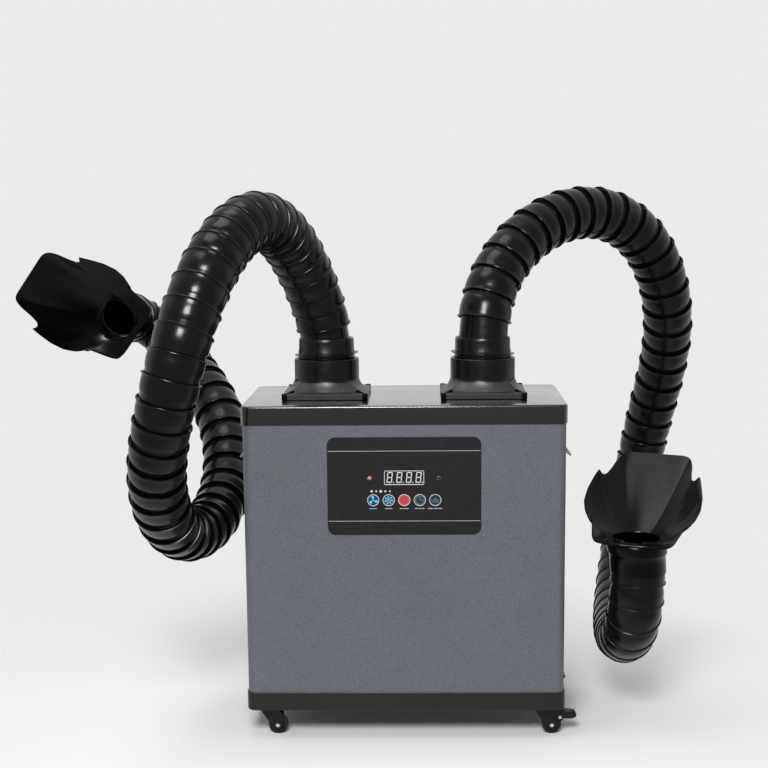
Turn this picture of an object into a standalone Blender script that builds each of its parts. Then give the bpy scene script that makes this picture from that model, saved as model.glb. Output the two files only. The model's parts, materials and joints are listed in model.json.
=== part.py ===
"""Solder fume extractor: a wheeled filter cabinet with two positionable ducts and scoop hoods.

Metres, +Z up. X runs across the cabinet's front, +Y runs from the front panel to the rear panel.
Every piece is a child of one empty, so the numbers below are in the cabinet's own frame:
its middle at x = 0 and y = 0, and the floor at z = 0.
"""

import math

import bmesh
import bpy
from mathutils import Matrix, Vector

# ---------------------------------------------------------------- driving dimensions
WIDTH = 0.430
DEPTH = 0.230
HEIGHT = 0.455
CASTER_HEIGHT = 0.0395
CABINET_ORIGIN = (0.0831, -0.0657, 0.0)

GAP = 0.0003
CORNER_R = 0.012
BAND_WALL = 0.0013
BAND_HEIGHT = 0.025
BASE_BAND = 0.0260
PANEL_INSET = 0.0017
SHEET = 0.0015
BASE_FLOOR = 0.003
BASE_EDGE_DROP = 0.0005
PAST = 0.01
REAR_OPENING_HALF = 0.195
CONTROL_WINDOW_LOW = (-0.060, 0.305)
CONTROL_WINDOW_HIGH = (0.060, 0.386)
KEEPER_HALF = 0.010
KEEPER_PROUD = 0.0022
KEEPER_LOW = 0.436
KEEPER_HIGH = 0.4395

# Duct: one smooth route per arm, cut into rigid links that hinge on each other
HOSE_R = 0.036
HOSE_INNER_R = 0.0336
BALL_R = 0.031
BALL_REACH = 0.0095
NECK_R = 0.0275
NECK_INNER_R = 0.025
NECK_START = 0.014
NECK_END = 0.018
SHOULDER = 0.023
SOCKET_REACH = 0.009
DUCT_SIDES = 12
DUCT_X = 0.107
PLATE = 0.115
PLATE_THICK = 0.008
NECK_TOP = 0.507
FLANGE_R = 0.0445
FLANGE_BORE = 0.0390
SPIGOT_R = 0.0370
CUFF_BOTTOM = 0.478
CUFF_R = 0.0390
CUFF_LIP_R = 0.0435
CUFF_TOP = 0.530
HOSE_START = 0.515
HOSE_SPIGOT_R = 0.0315
HOSE_SPIGOT_LENGTH = 0.030
SKIRT_STEP = 0.006
SKIRT_RISE = 0.024

LEFT_ROUTE = (
    (-0.107, 0.000, 0.515), (-0.110, -0.001, 0.555), (-0.124, -0.020, 0.607), (-0.150, -0.072, 0.674),
    (-0.184, -0.145, 0.708), (-0.222, -0.207, 0.668), (-0.248, -0.255, 0.606), (-0.269, -0.283, 0.537),
    (-0.286, -0.283, 0.470), (-0.303, -0.258, 0.403), (-0.310, -0.205, 0.341), (-0.303, -0.130, 0.289),
    (-0.290, -0.042, 0.266), (-0.272, 0.040, 0.274), (-0.263, 0.105, 0.308), (-0.266, 0.158, 0.352),
    (-0.281, 0.200, 0.396), (-0.305, 0.240, 0.430), (-0.334, 0.290, 0.455), (-0.360, 0.352, 0.474),
    (-0.382, 0.415, 0.492), (-0.414, 0.456, 0.512), (-0.443, 0.440, 0.530), (-0.452, 0.400, 0.540),
    (-0.453, 0.354, 0.542),
)
RIGHT_ROUTE = (
    (0.107, 0.000, 0.515), (0.108, 0.003, 0.558), (0.120, 0.018, 0.608), (0.150, 0.045, 0.653),
    (0.192, 0.078, 0.685), (0.241, 0.115, 0.702), (0.292, 0.147, 0.699), (0.338, 0.173, 0.673),
    (0.371, 0.197, 0.629), (0.391, 0.222, 0.575), (0.399, 0.257, 0.520), (0.398, 0.292, 0.465),
    (0.389, 0.325, 0.405), (0.377, 0.350, 0.335), (0.364, 0.352, 0.260), (0.350, 0.320, 0.182),
    (0.335, 0.250, 0.122), (0.322, 0.150, 0.094), (0.312, 0.040, 0.096), (0.307, -0.045, 0.124),
    (0.305, -0.088, 0.165), (0.3055, -0.097, 0.198), (0.306, -0.098, 0.229),
)
LEFT_LINKS = 8
RIGHT_LINKS = 7

# Hood, in its own frame: origin in the throat, +Z out of the throat, +Y towards the long wall
THROAT_R = 0.032
COLLAR_R = 0.0360
COLLAR_LENGTH = 0.045
HOOD_WALL = 0.0025
# Right half of the mouth's rim, from the middle of the short wall to the middle of the long wall,
# each with the angle at which its flow line leaves the throat
HOOD_RIM = (
    (-90, (0.000, -0.0415, 0.000)), (-66, (0.038, -0.0415, 0.000)), (-48, (0.052, -0.034, 0.003)),
    (-24, (0.062, 0.009, 0.017)), (-12, (0.076, 0.022, 0.029)), (4, (0.079, 0.042, 0.043)),
    (20, (0.0685, 0.085, 0.071)), (30, (0.058, 0.083, 0.064)), (44, (0.051, 0.110, 0.078)),
    (58, (0.041, 0.127, 0.088)), (90, (0.000, 0.128, 0.0885)),
)
LEFT_HOOD_Z = (-0.160, -0.983, -0.085)
LEFT_HOOD_Y = (-0.790, 0.076, 0.608)
RIGHT_HOOD_Z = (0.020, -0.050, 0.999)
RIGHT_HOOD_Y = (0.287, 0.957, 0.042)

# Front controls
FRONT_Y = -(DEPTH / 2 - PANEL_INSET)
OVERLAY_LOW = (-0.1015, 0.283)
OVERLAY_HIGH = (0.1015, 0.4135)
OVERLAY_THICK = 0.001
OVERLAY_CORNER = 0.0105
DISPLAY_LOW = (-0.0263, 0.350)
DISPLAY_HIGH = (0.0263, 0.369)
BUTTON_Z = 0.3295
BUTTON_PITCH = 0.0205
BUTTON_R = 0.008
BUTTON_PROUD = 0.0004
BUTTONS = ("fan_down_button", "fan_up_button", "power_button", "timer_button", "mode_button")
LED_X = -0.0455
RECEIVER_X = 0.0455
LENS_Z = 0.3592
LENS_R = 0.0029
LENS_HOLE_R = 0.0034
BUTTON_HOLE_R = 0.0086
BUTTON_FLANGE_R = 0.0092
BUTTON_DEPTH = 0.0022
BOARD_Y = -0.098
BOARD_THICK = 0.0016
BOARD_LOW = (-0.085, 0.290)
BOARD_HIGH = (0.085, 0.405)

# Inside: a shelf with the fan under it and the filters stacked on it
SHELF_Z = 0.222
SHELF_HOLE_R = 0.055
FILTER_X = 0.205
FILTER_FRONT = -0.080
FILTER_REAR = 0.108
FILTER_FRAME = 0.010
FILTER_RECESS = 0.008
MAIN_FILTER_HEIGHT = 0.122
MEDIUM_FILTER_HEIGHT = 0.027
MAT_HEIGHT = 0.010
FAN_Y = 0.012
FAN_R = 0.088
FAN_LOW = 0.125
FAN_WALL = 0.002
FAN_EYE_R = 0.050
SPOUT_LOW_Z = 0.133
SPOUT_HIGH_Z = 0.212
SPOUT_RIGHT = -0.0045
MOTOR_R = 0.042
MOTOR_TOP = 0.117
SHAFT_R = 0.004
SHAFT_TOP = 0.152
IMPELLER_R = 0.070
IMPELLER_BLADES = 14
IMPELLER_LOW = 0.140
IMPELLER_HIGH = 0.192
IMPELLER_HUB_R = 0.014

# Casters
CASTER_X = 0.187
CASTER_Y = 0.087
CASTER_TRAIL = 0.0115
WHEEL_R = 0.013
WHEEL_WIDTH = 0.014
AXLE_R = 0.0025
BRAKE_PIVOT = (0.0225, 0.0245)
CASTER_PLATE_HALF = 0.017
CASTER_PLATE_THICK = 0.0025
FORK_R = 0.0135
FORK_DISC = 0.0035
CHEEK_Y = 0.0105
CHEEK_THICK = 0.002
KINGPIN_R = 0.0040
PEDAL_HALF = 0.0078

REAR_Y = DEPTH / 2 - PANEL_INSET
EXHAUST_HOLE_LOW = (-0.085, 0.137)
EXHAUST_HOLE_HIGH = (-0.008, 0.208)
GRILLE_LOW = (-0.096, 0.126)
GRILLE_HIGH = (0.003, 0.219)
GRILLE_THICK = 0.004
GRILLE_SLOTS = 8
GRILLE_PITCH = 0.0092
INLET = (0.150, 0.085)
INLET_HOLE = (0.0245, 0.0125)
INLET_FLANGE = (0.029, 0.016)
INLET_BODY = (0.024, 0.012)
ROCKER_TILT = 7
LATCH_PIVOT_Z = 0.380
LATCH_PIVOT_OUT = 0.0055
LATCH_BASE_HALF = 0.012
LATCH_BASE_LOW = 0.364
LATCH_BASE_HIGH = 0.426
LATCH_BASE_THICK = 0.0016
LATCH_EAR_Y = 0.0105
LATCH_LEVER_HALF = 0.0091
LATCH_HOOK_TOP = 0.4440
LATCH_HOOK_UNDER = 0.4402


# ---------------------------------------------------------------- scene and materials
def clear_scene():
    for obj in list(bpy.data.objects):
        bpy.data.objects.remove(obj, do_unlink=True)


def new_collection(name):
    collection = bpy.data.collections.new(name)
    bpy.context.scene.collection.children.link(collection)
    return collection


def make_material(name, colour, roughness, metallic=0.0):
    material = bpy.data.materials.new(name)
    material.use_nodes = True
    shader = material.node_tree.nodes["Principled BSDF"]
    shader.inputs["Base Color"].default_value = (*colour, 1.0)
    shader.inputs["Roughness"].default_value = roughness
    shader.inputs["Metallic"].default_value = metallic
    material.diffuse_color = (*colour, 1.0)
    return material


clear_scene()
PARTS = new_collection("solder_fume_extractor")
CUTTERS = new_collection("cutters")
CUTTERS.hide_render = True

FRAME = bpy.data.objects.new("cabinet_frame", None)
FRAME.location = CABINET_ORIGIN
PARTS.objects.link(FRAME)

COLOURS = {
    "body_paint": ((0.13, 0.16, 0.19), 0.45, 0.0),
    "black_paint": ((0.02, 0.02, 0.02), 0.25, 0.0),
    "gloss_black": ((0.012, 0.012, 0.013), 0.2, 0.0),
    "satin_black": ((0.018, 0.018, 0.019), 0.45, 0.0),
    "overlay_film": ((0.02, 0.02, 0.022), 0.4, 0.0),
    "display": ((0.03, 0.03, 0.032), 0.15, 0.0),
    "blue_key": ((0.02, 0.09, 0.22), 0.35, 0.0),
    "red_key": ((0.45, 0.03, 0.03), 0.35, 0.0),
    "grey_key": ((0.05, 0.08, 0.09), 0.35, 0.0),
    "board_green": ((0.02, 0.16, 0.07), 0.5, 0.0),
    "filter_media": ((0.72, 0.72, 0.68), 0.9, 0.0),
    "filter_card": ((0.5, 0.42, 0.3), 0.85, 0.0),
    "zinc": ((0.62, 0.62, 0.62), 0.35, 1.0),
    "motor_steel": ((0.45, 0.45, 0.46), 0.4, 1.0),
    "grey_plastic": ((0.25, 0.25, 0.26), 0.5, 0.0),
    "rubber": ((0.02, 0.02, 0.02), 0.75, 0.0),
}
MATERIALS = {name: make_material(name, *values) for name, values in COLOURS.items()}


# ---------------------------------------------------------------- modelling helpers
def add_object(name, mesh, material=None, pivot=(0, 0, 0)):
    """Put a mesh, whose points are in the cabinet's frame, into the scene with its origin at pivot."""
    mesh.transform(Matrix.Translation(-Vector(pivot)))
    obj = bpy.data.objects.new(name, mesh)
    obj.parent = FRAME
    obj.location = pivot
    if material is None:
        obj.hide_render = True
        obj.display_type = "WIRE"
        CUTTERS.objects.link(obj)
    else:
        mesh.materials.append(MATERIALS[material])
        PARTS.objects.link(obj)
    return obj


def mesh_from(bm, name):
    bmesh.ops.recalc_face_normals(bm, faces=bm.faces)
    mesh = bpy.data.meshes.new(name)
    bm.to_mesh(mesh)
    bm.free()
    return mesh


def smooth(obj, angle=35):
    obj.data.shade_smooth()
    obj.data.set_sharp_from_angle(angle=math.radians(angle))
    return obj


def add_box(bm, low, high, corner=0.0, along=2, segments=3):
    """One cube between two corners; corner rounds the four edges that run along one axis."""
    low, high = Vector(low), Vector(high)
    placed = Matrix.Translation((low + high) / 2) @ Matrix.Diagonal((*(high - low), 1))
    made = bmesh.ops.create_cube(bm, size=1, matrix=placed)
    if corner:
        edges = {e for v in made["verts"] for e in v.link_edges}
        running = [e for e in edges if abs((e.verts[0].co - e.verts[1].co).normalized()[along]) > 0.99]
        bmesh.ops.bevel(bm, geom=running, offset=corner, segments=segments, profile=0.5, affect="EDGES")


def box(name, low, high, material=None, corner=0.0, along=2, pivot=(0, 0, 0)):
    bm = bmesh.new()
    add_box(bm, low, high, corner, along)
    return add_object(name, mesh_from(bm, name), material, pivot)


def extrude_face(bm, points, way):
    """A closed outline given a thickness along way."""
    face = bm.faces.new([bm.verts.new(p) for p in points])
    grown = bmesh.ops.extrude_face_region(bm, geom=[face])
    moved = [v for v in grown["geom"] if isinstance(v, bmesh.types.BMVert)]
    bmesh.ops.translate(bm, verts=moved, vec=way)


def add_rod(bm, start, end, radius, sides, turn=0.0):
    start, end = Vector(start), Vector(end)
    axis = end - start
    facing = axis.to_track_quat("Z", "Y").to_matrix().to_4x4()
    placed = Matrix.Translation((start + end) / 2) @ facing @ Matrix.Rotation(turn, 4, "Z")
    bmesh.ops.create_cone(
        bm, cap_ends=True, segments=sides, radius1=radius, radius2=radius, depth=axis.length, matrix=placed
    )


def rod(name, start, end, radius, sides, material=None, pivot=(0, 0, 0), turn=0.0):
    bm = bmesh.new()
    add_rod(bm, start, end, radius, sides, turn)
    return add_object(name, mesh_from(bm, name), material, pivot)


def plate(name, outline, y_low, y_high, material=None, pivot=(0, 0, 0)):
    """A flat outline of (x, z) points with a thickness along Y."""
    bm = bmesh.new()
    extrude_face(bm, [(x, y_low, z) for x, z in outline], (0, y_high - y_low, 0))
    return add_object(name, mesh_from(bm, name), material, pivot)


def boolean(obj, other, operation="DIFFERENCE"):
    modifier = obj.modifiers.new(other.name, "BOOLEAN")
    modifier.operation = operation
    modifier.object = other
    return obj


def turned(name, profile, centre, sides, material=None, tilt=None):
    """A closed profile of (radius, height) points turned about Z, then set at centre."""
    mesh = bpy.data.meshes.new(name)
    count = len(profile)
    edges = [(i, (i + 1) % count) for i in range(count)]
    if min(radius for radius, _ in profile) <= 0:
        edges.pop()
    mesh.from_pydata([(radius, 0, height) for radius, height in profile], edges, [])
    obj = add_object(name, mesh, material)
    obj.location = centre
    if tilt:
        obj.rotation_euler = tilt
    screw = obj.modifiers.new("turn", "SCREW")
    screw.steps = sides
    screw.render_steps = sides
    screw.use_merge_vertices = True
    screw.merge_threshold = 0.00005
    screw.use_smooth_shade = True
    return obj


def loft(name, rings, material, pivot=(0, 0, 0)):
    """Bridge closed rings of equal length, and the last one back to the first: a tube with a wall."""
    bm = bmesh.new()
    made = [[bm.verts.new(point) for point in ring] for ring in rings]
    for here, there in zip(made, made[1:] + made[:1]):
        for i in range(len(here)):
            j = (i + 1) % len(here)
            bm.faces.new((here[i], here[j], there[j], there[i]))
    return add_object(name, mesh_from(bm, name), material, pivot)


# ---------------------------------------------------------------- duct route
def route_curve(points, steps=10):
    """A uniform cubic B-spline with its ends on the first and last points."""
    points = [Vector(p) for p in points]
    points = [2 * points[0] - points[1], *points, 2 * points[-1] - points[-2]]
    curve = []
    for a, b, c, d in zip(points, points[1:], points[2:], points[3:]):
        for step in range(steps):
            t = step / steps
            weights = ((1 - t) ** 3, 3 * t**3 - 6 * t * t + 4, -3 * t**3 + 3 * t * t + 3 * t + 1, t**3)
            curve.append(sum((p * w for p, w in zip((a, b, c, d), weights)), Vector()) / 6)
    curve.append(points[-2])
    return curve


def stations(points, count):
    """(place, direction) at count + 1 equal distances along the route."""
    curve = route_curve(points)
    reach = [0.0]
    for a, b in zip(curve, curve[1:]):
        reach.append(reach[-1] + (b - a).length)
    found = []
    for n in range(count + 1):
        goal = reach[-1] * n / count
        i = max(k for k in range(len(curve) - 1) if reach[k] <= goal + 1e-9)
        share = (goal - reach[i]) / (reach[i + 1] - reach[i])
        place = curve[i].lerp(curve[i + 1], share)
        before, after = curve[max(i - 1, 0)], curve[min(i + 2, len(curve) - 1)]
        found.append((place, (after - before).normalized()))
    return found


def link_path(start, start_way, end, end_way, straight):
    """A point and direction at a share of the way: straight near both hinges, curved between them."""
    a, d = start + start_way * straight, end - end_way * straight
    pull = (d - a).length * 0.36
    b, c = a + start_way * pull, d - end_way * pull

    def at(share):
        if share <= 0:
            return a, start_way
        if share >= 1:
            return d, end_way
        rest = 1 - share
        place = a * rest**3 + b * 3 * rest * rest * share + c * 3 * rest * share**2 + d * share**3
        way = (b - a) * rest**2 + (c - b) * 2 * rest * share + (d - c) * share**2
        return place, way.normalized()

    return at


def ring_about(place, way, side, radius, sides):
    """A circle of points across a path; side is any direction that isn't along it."""
    across = (side - way * side.dot(way)).normalized()
    over = way.cross(across)
    turns = [2 * math.pi * n / sides for n in range(sides)]
    return [place + (across * math.cos(t) + over * math.sin(t)) * radius for t in turns]


def carry(side, way):
    return (side - way * side.dot(way)).normalized()


def duct_links(prefix, points, count, inlet_way):
    """Links of one arm: a ball at each link's start turns inside the open end of the link before it."""
    found = stations(points, count)
    side = Vector((0, 1, 0))
    for n in range(count):
        (start, start_way), (end, end_way) = found[n], found[n + 1]
        first, last = n == 0, n == count - 1
        if first:
            start_way = Vector((0, 0, 1))
        if last:
            end_way = inlet_way
        at = link_path(start, start_way, end, end_way, SHOULDER + 0.002)
        bend = math.degrees(start_way.angle(end_way))
        cuts = 3 + int(bend > 45) + int(bend > 75)
        body = []
        for step in range(cuts + 1):
            place, way = at(step / cuts)
            side = carry(side, way)
            body.append((place, way, side.copy()))
        start_side, end_side = body[0][2], body[-1][2]

        def along_start(distance, radius):
            return ring_about(start + start_way * distance, start_way, start_side, radius, DUCT_SIDES)

        def along_end(distance, radius):
            return ring_about(end + end_way * distance, end_way, end_side, radius, DUCT_SIDES)

        if first:
            outer = [along_start(z - HOSE_START, r) for z, r in cuff_outside()]
            back = [along_start(z - HOSE_START, r) for z, r in cuff_inside()]
        else:
            edge = math.sqrt(BALL_R**2 - BALL_REACH**2)
            outer = [along_start(-BALL_REACH, edge), along_start(0, BALL_R), along_start(BALL_REACH, edge)]
            outer += [along_start(NECK_START, NECK_R), along_start(NECK_END, NECK_R)]
            back = [along_start(SHOULDER + 0.001, NECK_INNER_R), along_start(-BALL_REACH, NECK_INNER_R)]
        outer += [ring_about(p, w, s, HOSE_R, DUCT_SIDES) for p, w, s in body]
        inner = [ring_about(p, w, s, HOSE_INNER_R, DUCT_SIDES) for p, w, s in reversed(body[1:])]
        if last:
            tip = [along_end(-0.001, HOSE_R), along_end(0, HOSE_SPIGOT_R)]
            tip += [along_end(HOSE_SPIGOT_LENGTH, HOSE_SPIGOT_R), along_end(HOSE_SPIGOT_LENGTH, NECK_R)]
            tip.append(along_end(-0.001, NECK_R))
        else:
            tip = [along_end(SOCKET_REACH, HOSE_R), along_end(SOCKET_REACH, HOSE_INNER_R)]
        smooth(loft(f"{prefix}_duct_{n + 1}", outer + tip + inner + back, "gloss_black", pivot=start))
        side = end_side


def cuff_outside():
    """(height, radius) of the first link's cuff: a spigot down in the flange, a lip, then the cuff."""
    return (
        (CUFF_BOTTOM, SPIGOT_R), (NECK_TOP + 0.0005, SPIGOT_R), (NECK_TOP + 0.001, CUFF_LIP_R - 0.001),
        (0.511, CUFF_LIP_R - 0.001), (0.511, CUFF_LIP_R), (0.514, CUFF_LIP_R), (0.516, CUFF_R),
        (CUFF_TOP, CUFF_R),
    )


def cuff_inside():
    return ((CUFF_TOP, HOSE_INNER_R), (CUFF_BOTTOM, HOSE_INNER_R))


# ---------------------------------------------------------------- hoods and flanges
def hood(name, throat, inlet_way, wall_way, pivot):
    """A scoop: a collar for the duct, a round throat, and a slanted mouth with a lobe on each side."""
    z_way = Vector(inlet_way).normalized()
    y_way = carry(Vector(wall_way), z_way)
    x_way = y_way.cross(z_way)
    right = list(HOOD_RIM)
    left = [(180 - angle, (-x, y, z)) for angle, (x, y, z) in reversed(right[1:-1])]
    rim = [(math.radians(angle), Vector(point)) for angle, point in right + left]

    def ring(radius, height):
        return [Vector((radius * math.cos(a), radius * math.sin(a), height)) for a, _ in rim]

    throat_ring = ring(THROAT_R, 0)
    levels = [ring(COLLAR_R, -COLLAR_LENGTH), ring(COLLAR_R, -0.008), throat_ring]
    levels.append([low.lerp(high, 0.45) for low, (_, high) in zip(throat_ring, rim)])
    levels.append([high for _, high in rim])
    bm = bmesh.new()
    made = []
    for level in levels:
        placed = [throat + x_way * p.x + y_way * p.y + z_way * p.z for p in level]
        made.append([bm.verts.new(p) for p in placed])
    for here, there in zip(made, made[1:]):
        for i in range(len(here)):
            j = (i + 1) % len(here)
            bm.faces.new((here[i], here[j], there[j], there[i]))
    obj = add_object(name, mesh_from(bm, name), "satin_black", pivot)
    wall = obj.modifiers.new("wall", "SOLIDIFY")
    wall.thickness = HOOD_WALL
    wall.offset = 1.0
    wall.use_even_offset = False
    return smooth(obj)


def square_ring(half, height, centre_x, sides=24):
    """Points on a square, on the same rays from its middle as a circle's points."""
    points = []
    for n in range(sides):
        turn = 2 * math.pi * n / sides
        reach = half / max(abs(math.cos(turn)), abs(math.sin(turn)))
        points.append((centre_x + reach * math.cos(turn), reach * math.sin(turn), height))
    return points


def round_ring(radius, height, centre_x, sides=24):
    turns = [2 * math.pi * n / sides for n in range(sides)]
    return [(centre_x + radius * math.cos(t), radius * math.sin(t), height) for t in turns]


def flange(name, x):
    """A square screw plate whose skirt rises into a round neck."""
    low = HEIGHT + GAP
    top = low + PLATE_THICK
    skirt = square_ring(PLATE / 2 - SKIRT_STEP, top, x)
    neck = round_ring(FLANGE_R, top + SKIRT_RISE, x)
    middle = [Vector(a).lerp(Vector(b), 0.62) for a, b in zip(skirt, neck)]
    for point in middle:
        point.z = top + 0.009
    rings = [
        square_ring(PLATE / 2, low, x), square_ring(PLATE / 2, top, x), skirt, middle, neck,
        round_ring(FLANGE_R, NECK_TOP, x), round_ring(FLANGE_BORE, NECK_TOP, x),
        round_ring(FLANGE_BORE, low, x),
    ]
    return smooth(loft(name, rings, "gloss_black", pivot=(x, 0, low)))


# ---------------------------------------------------------------- cabinet
def half_sizes(inset):
    return WIDTH / 2 - inset, DEPTH / 2 - inset


def slab(name, inset, z_low, z_high, material=None):
    """A block with the cabinet's rounded plan, drawn in by inset."""
    x, y = half_sizes(inset)
    return box(name, (-x, -y, z_low), (x, y, z_high), material, CORNER_R - inset)


def base_tray():
    top = CASTER_HEIGHT + BASE_BAND - BASE_EDGE_DROP
    tray = slab("base_tray", 0, CASTER_HEIGHT, top, "black_paint")
    boolean(tray, slab("base_hollow", BAND_WALL, CASTER_HEIGHT + BASE_FLOOR, top + PAST))
    return tray


def cabinet_wrap():
    low = CASTER_HEIGHT + BASE_FLOOR + GAP
    high = HEIGHT - SHEET - GAP
    wrap = slab("cabinet_wrap", PANEL_INSET, low, high, "body_paint")
    boolean(wrap, slab("wrap_hollow", PANEL_INSET + SHEET, low - PAST, high + PAST))
    rear_low, rear_high = (-REAR_OPENING_HALF, 0.08, low - PAST), (REAR_OPENING_HALF, 0.13, high + PAST)
    boolean(wrap, box("wrap_rear_opening", rear_low, rear_high))
    x_low, z_low = CONTROL_WINDOW_LOW
    x_high, z_high = CONTROL_WINDOW_HIGH
    boolean(wrap, box("wrap_control_window", (x_low, -0.13, z_low), (x_high, -0.10, z_high)))
    return wrap


def rear_panel():
    low = CASTER_HEIGHT + BASE_FLOOR + GAP
    high = HEIGHT - SHEET - GAP
    half = REAR_OPENING_HALF - 0.0005
    panel = box("rear_panel", (-half, REAR_Y - SHEET, low), (half, REAR_Y, high), "body_paint")
    x_low, z_low = EXHAUST_HOLE_LOW
    x_high, z_high = EXHAUST_HOLE_HIGH
    boolean(panel, box("rear_exhaust_hole", (x_low, 0.10, z_low), (x_high, 0.13, z_high)))
    x, z = INLET
    half_x, half_z = INLET_HOLE
    boolean(panel, box("rear_inlet_hole", (x - half_x, 0.10, z - half_z), (x + half_x, 0.13, z + half_z)))
    return panel


def lid():
    skirt_low = HEIGHT - BAND_HEIGHT
    cover = slab("lid", 0, skirt_low, HEIGHT, "black_paint")
    boolean(cover, slab("lid_hollow", BAND_WALL, skirt_low - PAST, HEIGHT - SHEET))
    for side, x in (("left", -DUCT_X), ("right", DUCT_X)):
        hole = rod(f"lid_hole_{side}", (x, 0, HEIGHT - 0.02), (x, 0, HEIGHT + 0.02), FLANGE_BORE, 24)
        boolean(cover, hole)
        sign = -1 if x < 0 else 1
        inner, outer = sorted((sign * (WIDTH / 2 - 0.0005), sign * (WIDTH / 2 + KEEPER_PROUD)))
        rib = box(f"lid_keeper_{side}", (inner, -KEEPER_HALF, KEEPER_LOW), (outer, KEEPER_HALF, KEEPER_HIGH))
        boolean(cover, rib, "UNION")
    return cover


def filter_stack():
    shelf = slab("filter_shelf", PANEL_INSET + SHEET + GAP, SHELF_Z, SHELF_Z + SHEET, "zinc")
    boolean(shelf, rod("shelf_hole", (0, FAN_Y, 0.2), (0, FAN_Y, 0.24), SHELF_HOLE_R, 20))
    z = SHELF_Z + SHEET + GAP
    top = z + MAIN_FILTER_HEIGHT
    cartridge = box("main_filter", (-FILTER_X, FILTER_FRONT, z), (FILTER_X, FILTER_REAR, top), "filter_card")
    inside_x, front, rear = FILTER_X - FILTER_FRAME, FILTER_FRONT + FILTER_FRAME, FILTER_REAR - FILTER_FRAME
    for low, high in ((top - FILTER_RECESS, top + PAST), (z - PAST, z + FILTER_RECESS)):
        boolean(cartridge, box("main_filter_recess", (-inside_x, front, low), (inside_x, rear, high)))
    z = top + GAP
    top = z + MEDIUM_FILTER_HEIGHT
    box("medium_filter", (-FILTER_X, FILTER_FRONT, z), (FILTER_X, FILTER_REAR, top), "filter_card")
    z = top + GAP
    top = z + MAT_HEIGHT
    mat_low, mat_high = (-FILTER_X, FILTER_FRONT, z), (FILTER_X, FILTER_REAR, top)
    box("prefilter_mat", mat_low, mat_high, "filter_media", corner=0.006)


def blower():
    top = SHELF_Z - GAP
    housing = rod("fan_housing", (0, FAN_Y, FAN_LOW), (0, FAN_Y, top), FAN_R, 24, "zinc")
    spout_low = (-FAN_R + 0.001, FAN_Y, SPOUT_LOW_Z)
    spout_high = (SPOUT_RIGHT, REAR_Y - SHEET - GAP, SPOUT_HIGH_Z)
    boolean(housing, box("fan_spout", spout_low, spout_high), "UNION")
    hollow_low, hollow_high = (0, FAN_Y, FAN_LOW + FAN_WALL), (0, FAN_Y, top - FAN_WALL)
    boolean(housing, rod("fan_hollow", hollow_low, hollow_high, FAN_R - FAN_WALL, 24))
    inside_low = (spout_low[0] + FAN_WALL, FAN_Y, SPOUT_LOW_Z + FAN_WALL)
    inside_high = (SPOUT_RIGHT - FAN_WALL, 0.13, SPOUT_HIGH_Z - FAN_WALL)
    boolean(housing, box("fan_spout_hollow", inside_low, inside_high))
    boolean(housing, rod("fan_inlet", (0, FAN_Y, 0.2), (0, FAN_Y, 0.23), FAN_EYE_R, 20))
    boolean(housing, rod("fan_shaft_hole", (0, FAN_Y, 0.12), (0, FAN_Y, 0.13), 2 * SHAFT_R, 12))
    floor = CASTER_HEIGHT + BASE_FLOOR + GAP
    foot = floor + 0.004
    motor = [(0, SHAFT_TOP), (SHAFT_R, SHAFT_TOP), (SHAFT_R, MOTOR_TOP + 0.004), (0.016, MOTOR_TOP + 0.004)]
    motor += [(0.016, MOTOR_TOP), (MOTOR_R, MOTOR_TOP), (MOTOR_R, foot), (MOTOR_R + 0.008, foot)]
    motor += [(MOTOR_R + 0.008, floor), (0, floor)]
    turned("fan_motor", motor, (0, FAN_Y, 0), 20, "motor_steel")
    impeller()


def impeller():
    """A back plate, straight blades cut as one star outline, and a ring that joins their tops."""
    low, high = IMPELLER_LOW, IMPELLER_HIGH
    centre, plate_top = (0, FAN_Y, low), (0, FAN_Y, low + 0.003)
    wheel = rod("fan_impeller", centre, plate_top, IMPELLER_R, 28, "grey_plastic", pivot=centre)
    outline = []
    half = math.radians(2.2)
    for n in range(IMPELLER_BLADES):
        turn = 2 * math.pi * n / IMPELLER_BLADES
        valley = turn - math.pi / IMPELLER_BLADES * 0.6
        tip = IMPELLER_R - 0.002
        outline += [(IMPELLER_HUB_R, valley), (tip, turn - half), (tip, turn + half)]
    bm = bmesh.new()
    points = [(r * math.cos(t), FAN_Y + r * math.sin(t), low + 0.002) for r, t in outline]
    extrude_face(bm, points, (0, 0, high - low))
    boolean(wheel, add_object("impeller_blades", mesh_from(bm, "impeller_blades")), "UNION")
    ring = loft_ring("impeller_ring", IMPELLER_R, 0.052, high - 0.001, high + 0.003)
    boolean(wheel, ring, "UNION")
    boolean(wheel, rod("impeller_eye", (0, FAN_Y, 0.155), (0, FAN_Y, 0.21), FAN_EYE_R, 20))
    boolean(wheel, rod("impeller_bore", (0, FAN_Y, 0.13), (0, FAN_Y, 0.21), SHAFT_R + 0.0005, 12))


def loft_ring(name, outer, inner, low, high, sides=28):
    bm = bmesh.new()
    rings = []
    for radius, height in ((outer, low), (outer, high), (inner, high), (inner, low)):
        turns = [2 * math.pi * n / sides for n in range(sides)]
        points = [(radius * math.cos(t), FAN_Y + radius * math.sin(t), height) for t in turns]
        rings.append([bm.verts.new(point) for point in points])
    for here, there in zip(rings, rings[1:] + rings[:1]):
        for i in range(sides):
            j = (i + 1) % sides
            bm.faces.new((here[i], here[j], there[j], there[i]))
    return add_object(name, mesh_from(bm, name))


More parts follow.
